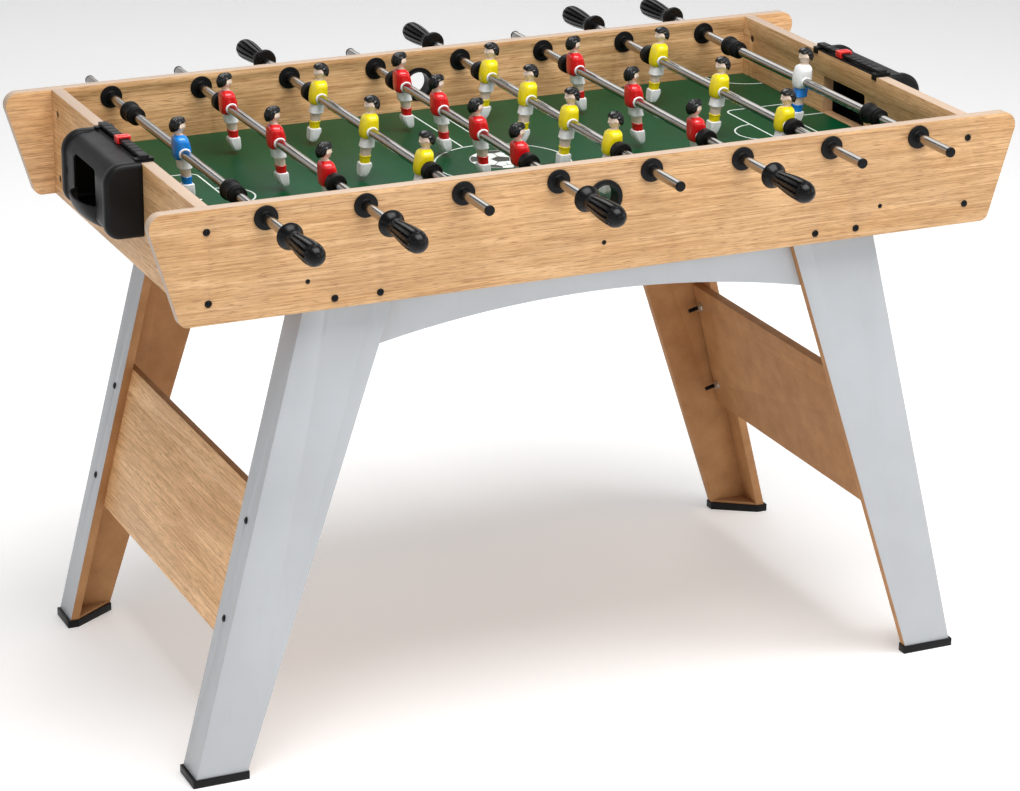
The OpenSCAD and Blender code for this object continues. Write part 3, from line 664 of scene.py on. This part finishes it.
def stretcher_bolts():
    """The same bolts, square to the leaning outer faces of the legs."""
    outer = high("front_right_leg")
    top_x = max(v.co.x for v in NODES["front_right_leg"].data.vertices if v.co.z > outer.z - 1 * MM)
    lean = atan2(outer.x - top_x, outer.z - low("front_right_leg").z)
    shape = Shape()
    for lowest, highest in islands("stretcher_bolts"):
        centre = (lowest + highest) / 2
        end = 1 if centre.x > 0 else -1
        length = (highest.x - lowest.x) / cos(lean)
        inward = Vector((-end * cos(lean), 0, -sin(lean)))
        spot = Matrix.Translation(centre - inward * (length / 2 - BOLT_HEAD_H - 1 * MM))
        out, back = (spot @ Vector((0, 0, 1)).rotation_difference(way).to_matrix().to_4x4()
                     for way in (-inward, inward))
        bolt(shape, out, back, length - 3.5 * MM, 22 * MM)
    piece("stretcher_bolt_set", "table", "black_bolt", shape, 30, [BOLT_BLACK], ["stretcher_bolts"])


def screws():
    """Small countersunk screw heads with their tapering shanks."""
    shape = Shape()
    for lowest, highest in islands("wood_screws"):
        centre = (lowest + highest) / 2
        size = highest - lowest
        across = size.y > size.x
        side = 1 if (centre.y if across else centre.x) > 0 else -1
        length = max(size.x, size.y) - SCREW_HEAD_H
        if across:
            head, inward = (place_along_y(centre.x, side * PANEL_OUT, centre.z, way) for way in (side, -side))
        else:
            face = (highest.x if side > 0 else lowest.x) - side * SCREW_HEAD_H
            head, inward = (place_along_x(face, centre.y, centre.z, way) for way in (side, -side))
        shape.add(*domed_head(3.1 * MM, 1.2 * MM, 0.6 * MM), head)
        shape.add(*lathe([(0, 0), (1.4 * MM, 0), (1.4 * MM, length - 4 * MM), (0.2 * MM, length - 0.2 * MM),
                          (0, length)], 20), inward)
    piece("wood_screw_set", "table", "black_bolt", shape, 30, [BOLT_BLACK], ["wood_screws"])


# ---- Handles ----

def handle_shape():
    """A domed collar, a waist and a swelling grip with rounded flutes; the rear face is at height 0."""
    length = HANDLE_LENGTH
    collar_r, waist_r, grip_r = 17 * MM, 9.8 * MM, 14.25 * MM
    widest = length - 20 * MM
    flutes, flute_depth = 12, 3.3 * MM
    profile = [(ROD_R + 0.02 * MM, 0.3 * MM), (ROD_R + 2 * MM, 0)]
    profile += arc(collar_r - 2.6 * MM, 2.6 * MM, 2.6 * MM, -90, 20, 8)
    profile += [(collar_r - 1.2 * MM, 6.2 * MM), (collar_r - 3.2 * MM, 9.2 * MM),
                (collar_r - 5.2 * MM, 12.2 * MM), (collar_r - 6.6 * MM, 15 * MM)]
    steps = 34
    first = 17 * MM
    for k in range(steps + 1):
        t = k / steps
        h = first + (length - first) * (1 - (1 - t) ** 1.35)
        if h <= widest:
            r = waist_r + (grip_r - waist_r) * sin(pi / 2 * (h - first) / (widest - first)) ** 1.15
        else:
            r = grip_r * sqrt(max(0.0, 1 - ((h - widest) / (length - widest)) ** 2))
        profile.append((r, h))
    profile[-1] = (0, length)

    def fluted(r, h, angle):
        start, end, fade = 21 * MM, length - 12 * MM, 9 * MM
        inside = min(1.0, max(0.0, (h - start) / fade)) * min(1.0, max(0.0, (end - h) / fade))
        inside = sqrt(max(0.0, 1 - (1 - inside) ** 2))
        wave = max(0.0, cos(flutes * angle)) ** 1.6
        return r - flute_depth * inside * wave * r / grip_r
    return lathe(profile, flutes * 12, fluted)


def end_plug_shape():
    """A small cap that closes a tube's far end."""
    r = ROD_R + 0.35 * MM
    return lathe([(0, -12 * MM), (ROD_R - 1.3 * MM, -12 * MM), (ROD_R - 1.3 * MM, 0), (r, 0)]
                 + arc(r - 1 * MM, 2 * MM, 1 * MM, 0, 80, 5) + [(r - 3.5 * MM, 3 * MM), (0, 3 * MM)], 40)


def handles():
    grip_y = high("rod_8_handle").y - HANDLE_LENGTH
    plug_y = -low("rod_8_handle").y - 3 * MM
    for n in RODS:
        side = HANDLE_SIDE[n]
        for part, (verts, faces), y, way, sharp, replaced in (
                ("grip", handle_shape(), side * grip_y, side, 50, [f"rod_{n}_handle"]),
                ("end_plug", end_plug_shape(), -side * plug_y, -side, 40, ())):
            name = f"rod_{n}_{part}"
            shape = Shape().add(verts, faces, place_along_y(ROD_X[n], y, ROD_Z, way))
            piece(name, f"rod_{n}", "handle_black", shape, sharp, [HANDLE_BLACK], replaced)


# ---- Playfield ----

def ribbon(shape, points, width, lift=PRINT_LIFT, closed=False):
    """A thin raised strip that follows points on the field, with mitred joints."""
    count = len(points)
    rails = []
    for i, here in enumerate(points):
        before = points[i - 1] if closed or i else None
        after = points[(i + 1) % count] if closed or i < count - 1 else None
        one = (here - before).normalized() if before is not None else None
        two = (after - here).normalized() if after is not None else None
        one, two = one or two, two or one
        along = (one + two).normalized()
        side = Vector((-along.y, along.x)) * (width / 2 / max(0.5, along.dot(one)))
        rails.append((here + side, here - side))
    foot, top = FIELD_Z - PRINT_DIP, FIELD_Z + lift
    rings = [[(a.x, a.y, foot), (a.x, a.y, top), (b.x, b.y, top), (b.x, b.y, foot)] for a, b in rails]
    if closed:
        rings.append(rings[0])
    shape.add(*loft(rings, not closed))


def flat(points):
    return [Vector(p) for p in points]


def disc_patch(shape, points, lift):
    """A flat raised patch with straight sides, drawn anticlockwise on the field."""
    shape.add(*loft([[(x, y, z) for x, y in points] for z in (FIELD_Z - PRINT_DIP, FIELD_Z + lift)]))


def field_markings():
    lines = Shape()
    line, margin = 2.3 * MM, 0.5 * MM
    edge_x, edge_y = high("playfield").x, high("playfield").y
    half_line, circle_r = 19 * MM, 92 * MM
    box_x, box_y = 395 * MM, 116 * MM
    area_x, area_y = 462 * MM, 53 * MM
    arc_r, corner_r = 40 * MM, 62 * MM
    spot_x, spot_r = 428 * MM, 2.6 * MM
    back = edge_x - margin
    start = sqrt(circle_r ** 2 - half_line ** 2)
    for end in ENDS:
        def draw(points):
            ribbon(lines, flat([(end * x, y) for x, y in points]), line)
        for side in ENDS:
            draw([(half_line, side * start), (half_line, side * (edge_y - margin))])
        for front_x, half_y, round_r in ((box_x, box_y, 13 * MM), (area_x, area_y, 5 * MM)):
            corner = arc(front_x + round_r, half_y - round_r, round_r, 180, 90, 8)
            draw([(back, half_y)] + corner[::-1] + [(x, -y) for x, y in corner] + [(back, -half_y)])
        draw(arc(box_x, 0, arc_r, 90, 270, 32))
        for side in ENDS:
            draw([(x, side * y) for x, y in arc(edge_x, edge_y, corner_r, 181, 269, 24)])
    ribbon(lines, flat(arc(0, 0, circle_r, 0, 360, 120)[:-1]), line, closed=True)
    spot = arc(0, 0, 1, 0, 360, 20)[:-1]
    for end in ENDS:
        disc_patch(lines, [(end * spot_x + x * spot_r, y * spot_r) for x, y in spot], PRINT_LIFT)
    piece("field_lines", "table", "line_white", lines, 35, [LINE_WHITE])
    centre_ball()


def centre_ball():
    """A plain football printed on the middle of the field."""
    r = 43 * MM
    centre = Vector((5 * MM, 18 * MM))
    white, black = Shape(), Shape()
    rim = [centre + Vector(p) for p in arc(0, 0, r, 0, 360, 72)[:-1]]
    disc_patch(white, [(p.x, p.y) for p in rim], 0.12 * MM)
    seam, seam_lift = 1.3 * MM, 0.14 * MM
    five = [14 + 72 * k for k in range(5)]

    def point(a, d):
        return centre + Vector((cos(radians(a)), sin(radians(a)))) * d
    disc_patch(black, [tuple(point(a, 0.33 * r)) for a in five], 0.15 * MM)
    for a in five:
        patch = [point(a, 0.66 * r), point(a - 19, 0.79 * r)]
        patch += [point(a - 19 + k * 38 / 8, 0.965 * r) for k in range(9)]
        patch += [point(a + 19, 0.79 * r)]
        disc_patch(black, [tuple(p) for p in patch], 0.15 * MM)
        for start, stop in ((point(a, 0.30 * r), point(a, 0.68 * r)),
                            (point(a + 19, 0.79 * r), point(a + 36, 0.64 * r)),
                            (point(a + 53, 0.79 * r), point(a + 36, 0.64 * r)),
                            (point(a + 36, 0.64 * r), point(a + 36, 0.47 * r))):
            ribbon(black, [start, stop], seam, seam_lift)
    ribbon(black, rim, seam, seam_lift, closed=True)
    piece("field_ball", "table", "line_white", white, 35, [LINE_WHITE])
    piece("field_ball_spots", "table", "black_plastic", black, 35, [BALL_BLACK])


def finish_field():
    dress("playfield", "table", "green_field", [GREEN, BOARD_EDGE],
          lambda centre, normal: 0 if normal.z > 0.5 else 1, 0.2 * MM)
    field_markings()


# ---- Goal boxes ----

def box_outline():
    """Half section of a goal box from its low back corner round to its high back corner, with normals."""
    lowest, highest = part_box("right_goal_box")
    back, front = END_OUT, BOX_FRONT
    floor, roof = lowest.z, highest.z
    heel, crown = 20 * MM, 27 * MM
    steps = 14

    def corner(r, z, first, last, count):
        for k in range(1, count + 1):
            a = radians(first + (last - first) * k / count)
            run.append((front - r + r * cos(a), z + r * sin(a), cos(a), sin(a)))

    run = [(back + (front - heel - back) * k / 8, floor, 0.0, -1.0) for k in range(9)]
    corner(heel, floor + heel, -90, 0, steps)
    rise = roof - crown - floor - heel
    run += [(front, floor + heel + rise * k / 12, 1.0, 0.0) for k in range(1, 13)]
    corner(crown, roof - crown, 0, 90, 2 * steps)
    run += [(front - crown + (back - front + crown) * k / 3, roof, 0.0, 1.0) for k in range(1, 4)]
    return run


def ease_step(t):
    t = min(1.0, max(0.0, t))
    return t * t * (3 - 2 * t)


def box_solid(wall, back_shift):
    """The rounded hood, as a closed solid; wall moves its skin inward."""
    half = high("right_goal_box").y
    shoulder, edge_r, recess = 17 * MM, 7 * MM, 3.0 * MM
    half_in = half - wall
    ys = [half_in - edge_r * (1 - sin(radians(90 * k / 10))) for k in range(11)][::-1]
    bend = half - shoulder
    ys += [bend + 3 * MM, bend + 1.5 * MM, bend, bend - 1.5 * MM, bend - 3 * MM, bend - 5 * MM]
    ys += [bend - 12 * MM - k * (bend - 12 * MM) / 6 for k in range(7)]
    ys = ys + [-y for y in ys[:-1]][::-1]
    outline = box_outline()
    rings = []
    for y in ys:
        past = max(0.0, abs(y) - (half_in - edge_r))
        rounding = edge_r - sqrt(max(0.0, edge_r ** 2 - past ** 2))
        sunk = recess * ease_step((bend + 3 * MM - abs(y)) / (5 * MM))
        ring = []
        for x, z, nx, nz in outline:
            d = wall + rounding + sunk * ease_step((x - END_OUT) / (14 * MM))
            px, pz = x - nx * d, z - nz * d
            if abs(nz) == 1.0 and px < END_OUT + 0.1 * MM:
                px = END_OUT - back_shift
            ring.append((px, y, pz))
        rings.append(ring)
    return loft(rings)


def pouch_solid(wall):
    """The bowl under the mouth where the ball comes to rest, as a closed solid."""
    deep, steps = 33 * MM, 16
    rim, r = low("right_goal_box").z + deep, deep - wall
    centre_x, half = END_OUT + 35 * MM, 48 * MM - wall
    set_back = high("right_goal_box").x - 0.3 * MM - deep - centre_x
    rings = []
    for k in range(steps + 1):
        a = radians(76 * (1 - k / steps))
        half_x = r * cos(a) + set_back
        half_y = half - (1 - cos(a)) * 16 * MM
        rings.append(oval(centre_x, 0, rim - r * sin(a), half_x, half_y, 2.5, 72))
    if wall:
        rings.append([v + Vector((0, 0, 30 * MM)) for v in rings[-1]])
    return loft(rings)


def mouth_solid():
    """The opening in the front face, with rounded top corners."""
    half, foot, top, r = 45 * MM, 704.5 * MM, 751 * MM, 9 * MM
    depths = (BOX_FRONT - 20 * MM, BOX_FRONT + 1 * MM)
    outline = ([(-half, foot), (half, foot)] + arc(half - r, top - r, r, 0, 90, 8)
               + arc(-half + r, top - r, r, 90, 180, 8))
    return loft([[(x, y, z) for y, z in outline] for x in depths])


def brick(lowest, highest):
    """A block between two corners, for joining and cutting."""
    (x0, y0, z0), (x1, y1, z1) = lowest, highest
    return loft([[(x0, y0, z), (x1, y0, z), (x1, y1, z), (x0, y1, z)] for z in (z0, z1)])


def lip_solid():
    """The thin lip that hooks over the end panel's top edge."""
    half = high("right_goal_box").y - 6 * MM
    return brick((END_IN + 0.2 * MM, -half, TABLE_TOP), (END_OUT + 4 * MM, half, high("right_goal_box").z))


def clip_slot(side):
    """A small slot beside a shoulder of the hood."""
    y, half, foot, top = side * 75 * MM, 1.5 * MM, 715 * MM, 725 * MM
    return brick((BOX_FRONT - 7 * MM, y - half, foot), (BOX_FRONT + 2 * MM, y + half, top))


def solid_object(name, shape):
    """A shape as a closed object whose faces point outward."""
    bm = bmesh.new()
    bm.from_mesh(shape.mesh(name))
    bmesh.ops.remove_doubles(bm, verts=bm.verts, dist=1e-7)
    bmesh.ops.recalc_face_normals(bm, faces=bm.faces)
    if bm.calc_volume(signed=True) < 0:
        bmesh.ops.reverse_faces(bm, faces=bm.faces)
    data = bpy.data.meshes.new(name)
    bm.to_mesh(data)
    bm.free()
    return in_scene(name, data)


def carve(obj, tools):
    """Joins and cuts an object with others, in order, then drops the tools."""
    for operation, tool in tools:
        cut = obj.modifiers.new("carve", "BOOLEAN")
        cut.operation = operation
        cut.solver = "MANIFOLD"
        cut.object = tool
    apply_modifiers(obj)
    for _, tool in tools:
        data = tool.data
        bpy.data.objects.remove(tool)
        bpy.data.meshes.remove(data)


def goal_boxes():
    hood = solid_object("hood", Shape().add(*box_solid(0, 0)))
    tools = [("UNION", pouch_solid(0)), ("DIFFERENCE", box_solid(BOX_WALL, 2 * MM)), ("UNION", lip_solid()),
             ("DIFFERENCE", mouth_solid()), ("DIFFERENCE", pouch_solid(BOX_WALL)),
             ("DIFFERENCE", clip_slot(-1)), ("DIFFERENCE", clip_slot(1))]
    carve(hood, [(kind, solid_object(f"tool_{i}", Shape().add(*solid)))
                 for i, (kind, solid) in enumerate(tools)])
    ease = hood.modifiers.new("ease", "BEVEL")
    ease.width = 0.8 * MM
    ease.segments = 2
    ease.limit_method = "ANGLE"
    ease.angle_limit = radians(38)
    apply_modifiers(hood, 40)
    verts = [v.co.copy() for v in hood.data.vertices]
    faces = [list(p.vertices) for p in hood.data.polygons]
    bpy.data.objects.remove(hood)
    for end, hand in ((-1, "left"), (1, "right")):
        name = f"{hand}_goal_hood"
        shape = Shape().add(verts, faces, Matrix.Scale(end, 4, (1, 0, 0)))
        piece(name, "table", "black_plastic", shape, 34, [BLACK], [f"{hand}_goal_box"])


# ---- Figures ----

def turned_ring(r, y):
    """A ring of points around the rod's axis, at a place along it."""
    return [(r * cos(a), y, r * sin(a)) for a in (2 * pi * k / 40 for k in range(40))]


def body_rings(rows, square, grooves=()):
    """Stacked ovals: rows of height, middle x, half depth and half width, all in millimetres."""
    rings = []
    for z, cx, half_x, half_y in rows:
        ring = oval(cx * MM, 0, z * MM, half_x * MM, half_y * MM, square, 48)
        for v in ring:
            angle = atan2(v.y / half_y, (v.x - cx * MM) / half_x)
            depth = sum(deep * exp(-((abs(angle) - at) / wide) ** 2) for at, wide, deep in grooves)
            v.x -= (v.x - cx * MM) * depth / half_x
            v.y -= v.y * depth / half_y
        rings.append(ring)
    return loft(rings)


HEAD = Vector((-4.2, 0, 34.4)) * MM
HEAD_SIZE = Vector((9.0, 8.3, 10.4)) * MM


def knob(towards, target, width):
    """How near a direction lies to a feature of the face."""
    return exp(-((towards - Vector(target)).length / width) ** 2)


def head_depth(d):
    """Distance from the head's middle to the face along a direction."""
    size = HEAD_SIZE.copy()
    jaw = ease_step(-d.z * 1.25)
    size.y *= 1 - 0.22 * jaw
    size.x *= 1 - 0.05 * jaw
    r = 1 / sqrt(sum((d[i] / size[i]) ** 2 for i in range(3)))
    for target, width, rise in (((0.99, 0, -0.12), 0.12, 1.7), ((0.98, 0, 0.08), 0.10, 0.8),
                                ((0.82, 0, -0.68), 0.22, 1.0), ((0.93, 0, 0.34), 0.30, 0.3),
                                ((0.92, 0, -0.36), 0.12, 0.45)):
        r += knob(d, target, width) * rise * MM
    for side in ENDS:
        r -= knob(d, (0.92, 0.30 * side, 0.08), 0.14) * 0.95 * MM
        r += knob(d, (0.94, 0.30 * side, 0.06), 0.06) * 0.4 * MM
        r += knob(d, (0.86, 0.44 * side, -0.22), 0.20) * 0.35 * MM
        r += knob(d, (0.90, 0.28 * side, 0.25), 0.12) * 0.4 * MM
    mouth = max(0.0, 1 - abs(d.z + 0.43) / 0.04) * max(0.0, 1 - abs(d.y) / 0.26)
    return r - (0.5 * MM * mouth if d.x > 0 else 0)


def hair_depth(d):
    """The hair stands off the head behind the hairline and sinks inside it elsewhere."""
    crown = (d.z - 0.52 + 0.10 * d.y * d.y - 0.06 * cos(7 * d.y)) * 1.3
    back = -d.x - 0.10 + 0.42 * d.z if d.z > -0.35 else -d.x - 0.247 + 1.6 * (d.z + 0.35)
    cover = ease_step((max(crown, back) + 0.03) / 0.13)
    along = atan2(d.z, -d.x)
    strand = cos(2 * pi * (d.y * 3.4 + 0.35 * sin(2.6 * along)))
    fine = cos(2 * pi * (d.y * 9.5 + 0.5 * sin(3.1 * along + 2 * d.y)))
    quiff = knob(d, (0.62, 0.15, 0.76), 0.36) * 1.0 - max(0.0, d.z - 0.75) * 1.6
    return head_depth(d) + (-1.2 + cover * (3.4 + 1.3 * quiff + 0.55 * strand + 0.2 * fine)) * MM


def round_skin(depth, rows, count):
    """A closed skin around the head, at the given distance along each direction."""
    verts = [HEAD + Vector((0, 0, depth(Vector((0, 0, 1)))))]
    for i in range(1, rows):
        for k in range(count):
            up, turn = pi * i / rows, 2 * pi * k / count
            d = Vector((sin(up) * cos(turn), sin(up) * sin(turn), cos(up)))
            verts.append(HEAD + d * depth(d))
    verts.append(HEAD - Vector((0, 0, depth(Vector((0, 0, -1))))))
    faces = []
    for k, j in around(count):
        faces.append((0, 1 + k, 1 + j))
        faces.append((len(verts) - 1, 1 + (rows - 2) * count + j, 1 + (rows - 2) * count + k))
        for i in range(rows - 2):
            a, b = 1 + i * count, 1 + (i + 1) * count
            faces.append((a + k, b + k, b + j, a + j))
    return verts, faces


def ear(side):
    """A small flattened ball on one side of the head."""
    verts, faces = lathe([(0, -1)] + [(cos(radians(a)), sin(radians(a)))
                                      for a in range(-70, 80, 20)] + [(0, 1)], 16)
    size = (1.7 * MM, 1.0 * MM, 2.7 * MM)
    return [(x * size[0] + HEAD.x + 0.6 * MM, y * size[1] + side * 8.5 * MM, z * size[2] + HEAD.z - 0.5 * MM)
            for x, y, z in verts], faces


def boot_rings():
    """Both boots as one block with cut corners: rows of height, back, front and half width in mm."""
    rows = ((-42.0, -0.6, 13.0, 8.2), (-43.0, -1.6, 13.9, 9.2), (-47.0, -1.8, 14.2, 9.6),
            (-55.0, 1.6, 14.8, 9.3), (-59.0, 4.0, 14.6, 8.4), (-60.0, 5.2, 13.6, 7.6))
    rings = []
    cut = 2.4
    for z, back, front, half in rows:
        ring = [(front, -half + cut), (front, half - cut), (front - cut, half), (back + cut, half),
                (back, half - cut), (back, -half + cut), (back + cut, -half), (front - cut, -half)]
        rings.append([(x * MM, y * MM, z * MM) for x, y in ring])
    return loft(rings)


def figure_parts():
    """One player around the rod's axis, facing +X, in separate parts by what they show."""
    shirt = body_rings([
        (-8.6, 0.7, 9.4, 9.6), (-8.2, 0.6, 10.6, 11.0), (-6.6, 0.4, 11.4, 11.9), (-3.0, 0.1, 11.9, 12.7),
        (2.0, -0.2, 11.9, 13.2), (7.0, -0.6, 11.4, 13.6), (11.0, -1.1, 10.8, 13.9), (14.5, -1.6, 10.2, 14.0),
        (17.2, -2.0, 9.7, 13.7), (19.2, -2.3, 9.0, 12.7), (20.8, -2.6, 8.0, 10.8), (22.0, -3.0, 6.9, 8.4),
        (23.0, -3.4, 5.9, 6.4), (23.4, -3.6, 5.1, 5.5)], 3.0,
        ((1.02, 0.10, 0.0006), (2.12, 0.10, 0.0006)))
    shorts = body_rings([
        (-20.6, 3.1, 7.4, 9.2), (-21.0, 3.2, 9.2, 10.8), (-20.4, 3.1, 9.5, 11.2), (-17.0, 2.5, 9.1, 10.8),
        (-12.0, 1.5, 8.8, 10.6), (-8.0, 0.8, 8.7, 10.5), (-5.0, 0.4, 8.5, 10.2)], 2.8,
        ((0.0, 0.22, 0.0009), (pi, 0.22, 0.0009)))
    legs = body_rings([
        (-34.0, 5.3, 5.9, 7.8), (-30.0, 4.8, 6.2, 8.1), (-26.0, 4.3, 6.5, 8.3), (-22.0, 3.7, 6.8, 8.5),
        (-19.0, 3.2, 7.0, 8.6)], 2.8, ((0.0, 0.20, 0.0007), (pi, 0.20, 0.0007)))
    socks = body_rings([
        (-44.0, 6.3, 6.0, 7.9), (-40.0, 5.9, 6.3, 8.2), (-36.0, 5.5, 6.3, 8.2), (-34.2, 5.3, 6.4, 8.3),
        (-34.0, 5.3, 6.9, 8.8), (-32.6, 5.1, 6.9, 8.8), (-32.2, 5.1, 6.5, 8.4)], 2.8,
        ((0.0, 0.18, 0.0006), (pi, 0.18, 0.0006)))
    neck = body_rings([
        (17, -3.8, 4.4, 4.9), (21, -4.0, 4.5, 4.9), (25, -4.2, 4.8, 4.9), (29, -4.4, 5.4, 5.6)], 2.0)
    collar = body_rings([
        (13.4, 7.4, 1.0, 0.5), (15.4, 6.0, 1.7, 1.6), (17.6, 4.2, 2.3, 2.8), (20.0, 1.4, 3.4, 4.1),
        (22.2, -1.4, 4.4, 5.0), (24.0, -3.2, 4.9, 5.2)], 2.0)
    rim_r, half = 7.6 * MM, 14.2 * MM
    side_view = [(ROD_R + 0.05 * MM, half), (rim_r - 0.5 * MM, half), (rim_r, half - 0.5 * MM),
                 (rim_r + 0.5 * MM, half - 1.4 * MM), (rim_r + 0.2 * MM, half - 3 * MM)]
    far_half = [(r, -y) for r, y in side_view]
    hub = loft([turned_ring(r, y) for r, y in far_half + side_view[::-1]], False)
    return {"hair": [round_skin(hair_depth, 40, 72)],
            "skin": [round_skin(head_depth, 44, 64), neck, collar, legs, ear(-1), ear(1)],
            "shirt": [shirt], "shorts": [shorts], "socks": [socks], "hub": [hub], "boots": [boot_rings()]}


LOOKS = {"hair": ("figure_hair", HAIR), "skin": ("figure_skin", SKIN), "white": ("figure_white", WHITE),
         "red": ("team_red", RED), "yellow": ("team_yellow", YELLOW), "blue": ("keeper_blue", BLUE)}


def kit(n):
    """Colours of the clothes on one rod."""
    colours = {"hair": "hair", "skin": "skin", "hub": "white", "boots": "white", "shorts": "white"}
    if FIGURES_ON_ROD[n] > 1:
        colours["shirt"] = colours["socks"] = "red" if HANDLE_SIDE[n] < 0 else "yellow"
    elif HANDLE_SIDE[n] < 0:
        colours["shirt"] = colours["socks"] = "blue"
    else:
        colours.update(shirt="white", shorts="blue", socks="blue")
    return colours


def figures():
    parts = figure_parts()
    for n in RODS:
        count = FIGURES_ON_ROD[n]
        turn = Matrix.Rotation(0 if HANDLE_SIDE[n] < 0 else pi, 4, "Z")
        shapes = {}
        for part, colour in kit(n).items():
            shape = shapes.setdefault(colour, Shape())
            for k in range(count):
                y = (k - (count - 1) / 2) * FIGURE_PITCH[count]
                for verts, faces in parts[part]:
                    shape.add(verts, faces, Matrix.Translation((ROD_X[n], y, ROD_Z)) @ turn)
        for colour, shape in shapes.items():
            slot, material = LOOKS[colour]
            replaced = [f"rod_{n}_players"] if colour == "white" else ()
            name = f"rod_{n}_figures_{colour}"
            piece(name, f"rod_{n}", slot, shape, 32, [material], replaced)


# ---- Assembly of the looks ----

finish_boards()
finish_legs()
finish_small_parts()
finish_field()
bushings()
bumpers()
panel_bolts("cabinet_bolt_set", "cabinet_bolts")
panel_bolts("leg_bolt_set", "leg_bolts")
stretcher_bolts()
screws()
handles()
goal_boxes()
figures()


# ---- Floor, lights and camera ----

def floor_and_backdrop():
    """A pale round floor whose rim curves up into a wall, far out on every side."""
    flat_r, bend, top = 15.0, 4.0, 9.0
    section = [(0.0, 0.0), (5.0, 0.0), (flat_r, 0.0)]
    section += [(flat_r + bend * sin(a), bend - bend * cos(a))
                for a in (pi / 2 * k / 16 for k in range(1, 17))]
    section.append((flat_r + bend, top))
    s = Surface("studio_floor", Specular_IOR_Level=0.2, Emission_Color=(1, 1, 1, 1), Emission_Strength=0.26)
    cloud = s.noise(s.place, 0.8, 2.0, 0.5)
    s.use(s.ramp(cloud, (0.3, (0.90, 0.90, 0.90)), (0.7, (0.93, 0.93, 0.93))), s.spread(cloud, 0.75, 0.85))
    data = Shape().add(*lathe(section, 96)).mesh("studio_floor", 60)
    data.materials.append(s.material)
    in_scene("studio_floor", data)


def area_light(name, place, size, power):
    """A soft rectangular lamp aimed at the middle of the table."""
    data = bpy.data.lights.new(name, "AREA")
    data.shape = "RECTANGLE"
    data.size, data.size_y = size
    data.energy = power
    obj = in_scene(name, data)
    obj.location = place
    obj.rotation_euler = (Vector((0, 0, 0.55)) - Vector(place)).to_track_quat("-Z", "Y").to_euler()


def studio():
    floor_and_backdrop()
    area_light("top_softbox", (0.1, -0.8, 3.4), (2.8, 1.8), 122)
    area_light("front_softbox", (0.9, -4.4, 2.3), (3.0, 2.0), 20)
    area_light("right_softbox", (3.4, -1.6, 2.0), (1.6, 2.0), 18)
    area_light("rear_softbox", (1.0, 3.4, 3.0), (2.6, 1.6), 20)
    world = bpy.data.worlds.new("studio_air")
    world.use_nodes = True
    air = world.node_tree.nodes["Background"].inputs
    air["Color"].default_value = (1, 1, 1, 1)
    air["Strength"].default_value = 0.19
    bpy.context.scene.world = world


def camera():
    data = bpy.data.cameras.new("camera")
    data.sensor_width = 36.0
    data.lens = 115.57
    data.shift_x = 0.0764
    data.shift_y = -0.0108
    obj = in_scene("camera", data)
    looking = Vector((0.3684, 0.8637, -0.3440))
    obj.matrix_world = (Matrix.Translation((-1.7400, -3.8370, 1.9107))
                        @ looking.to_track_quat("-Z", "Y").to_matrix().to_4x4())
    bpy.context.scene.camera = obj


studio()
camera()
bpy.context.scene.view_settings.view_transform = "Standard"
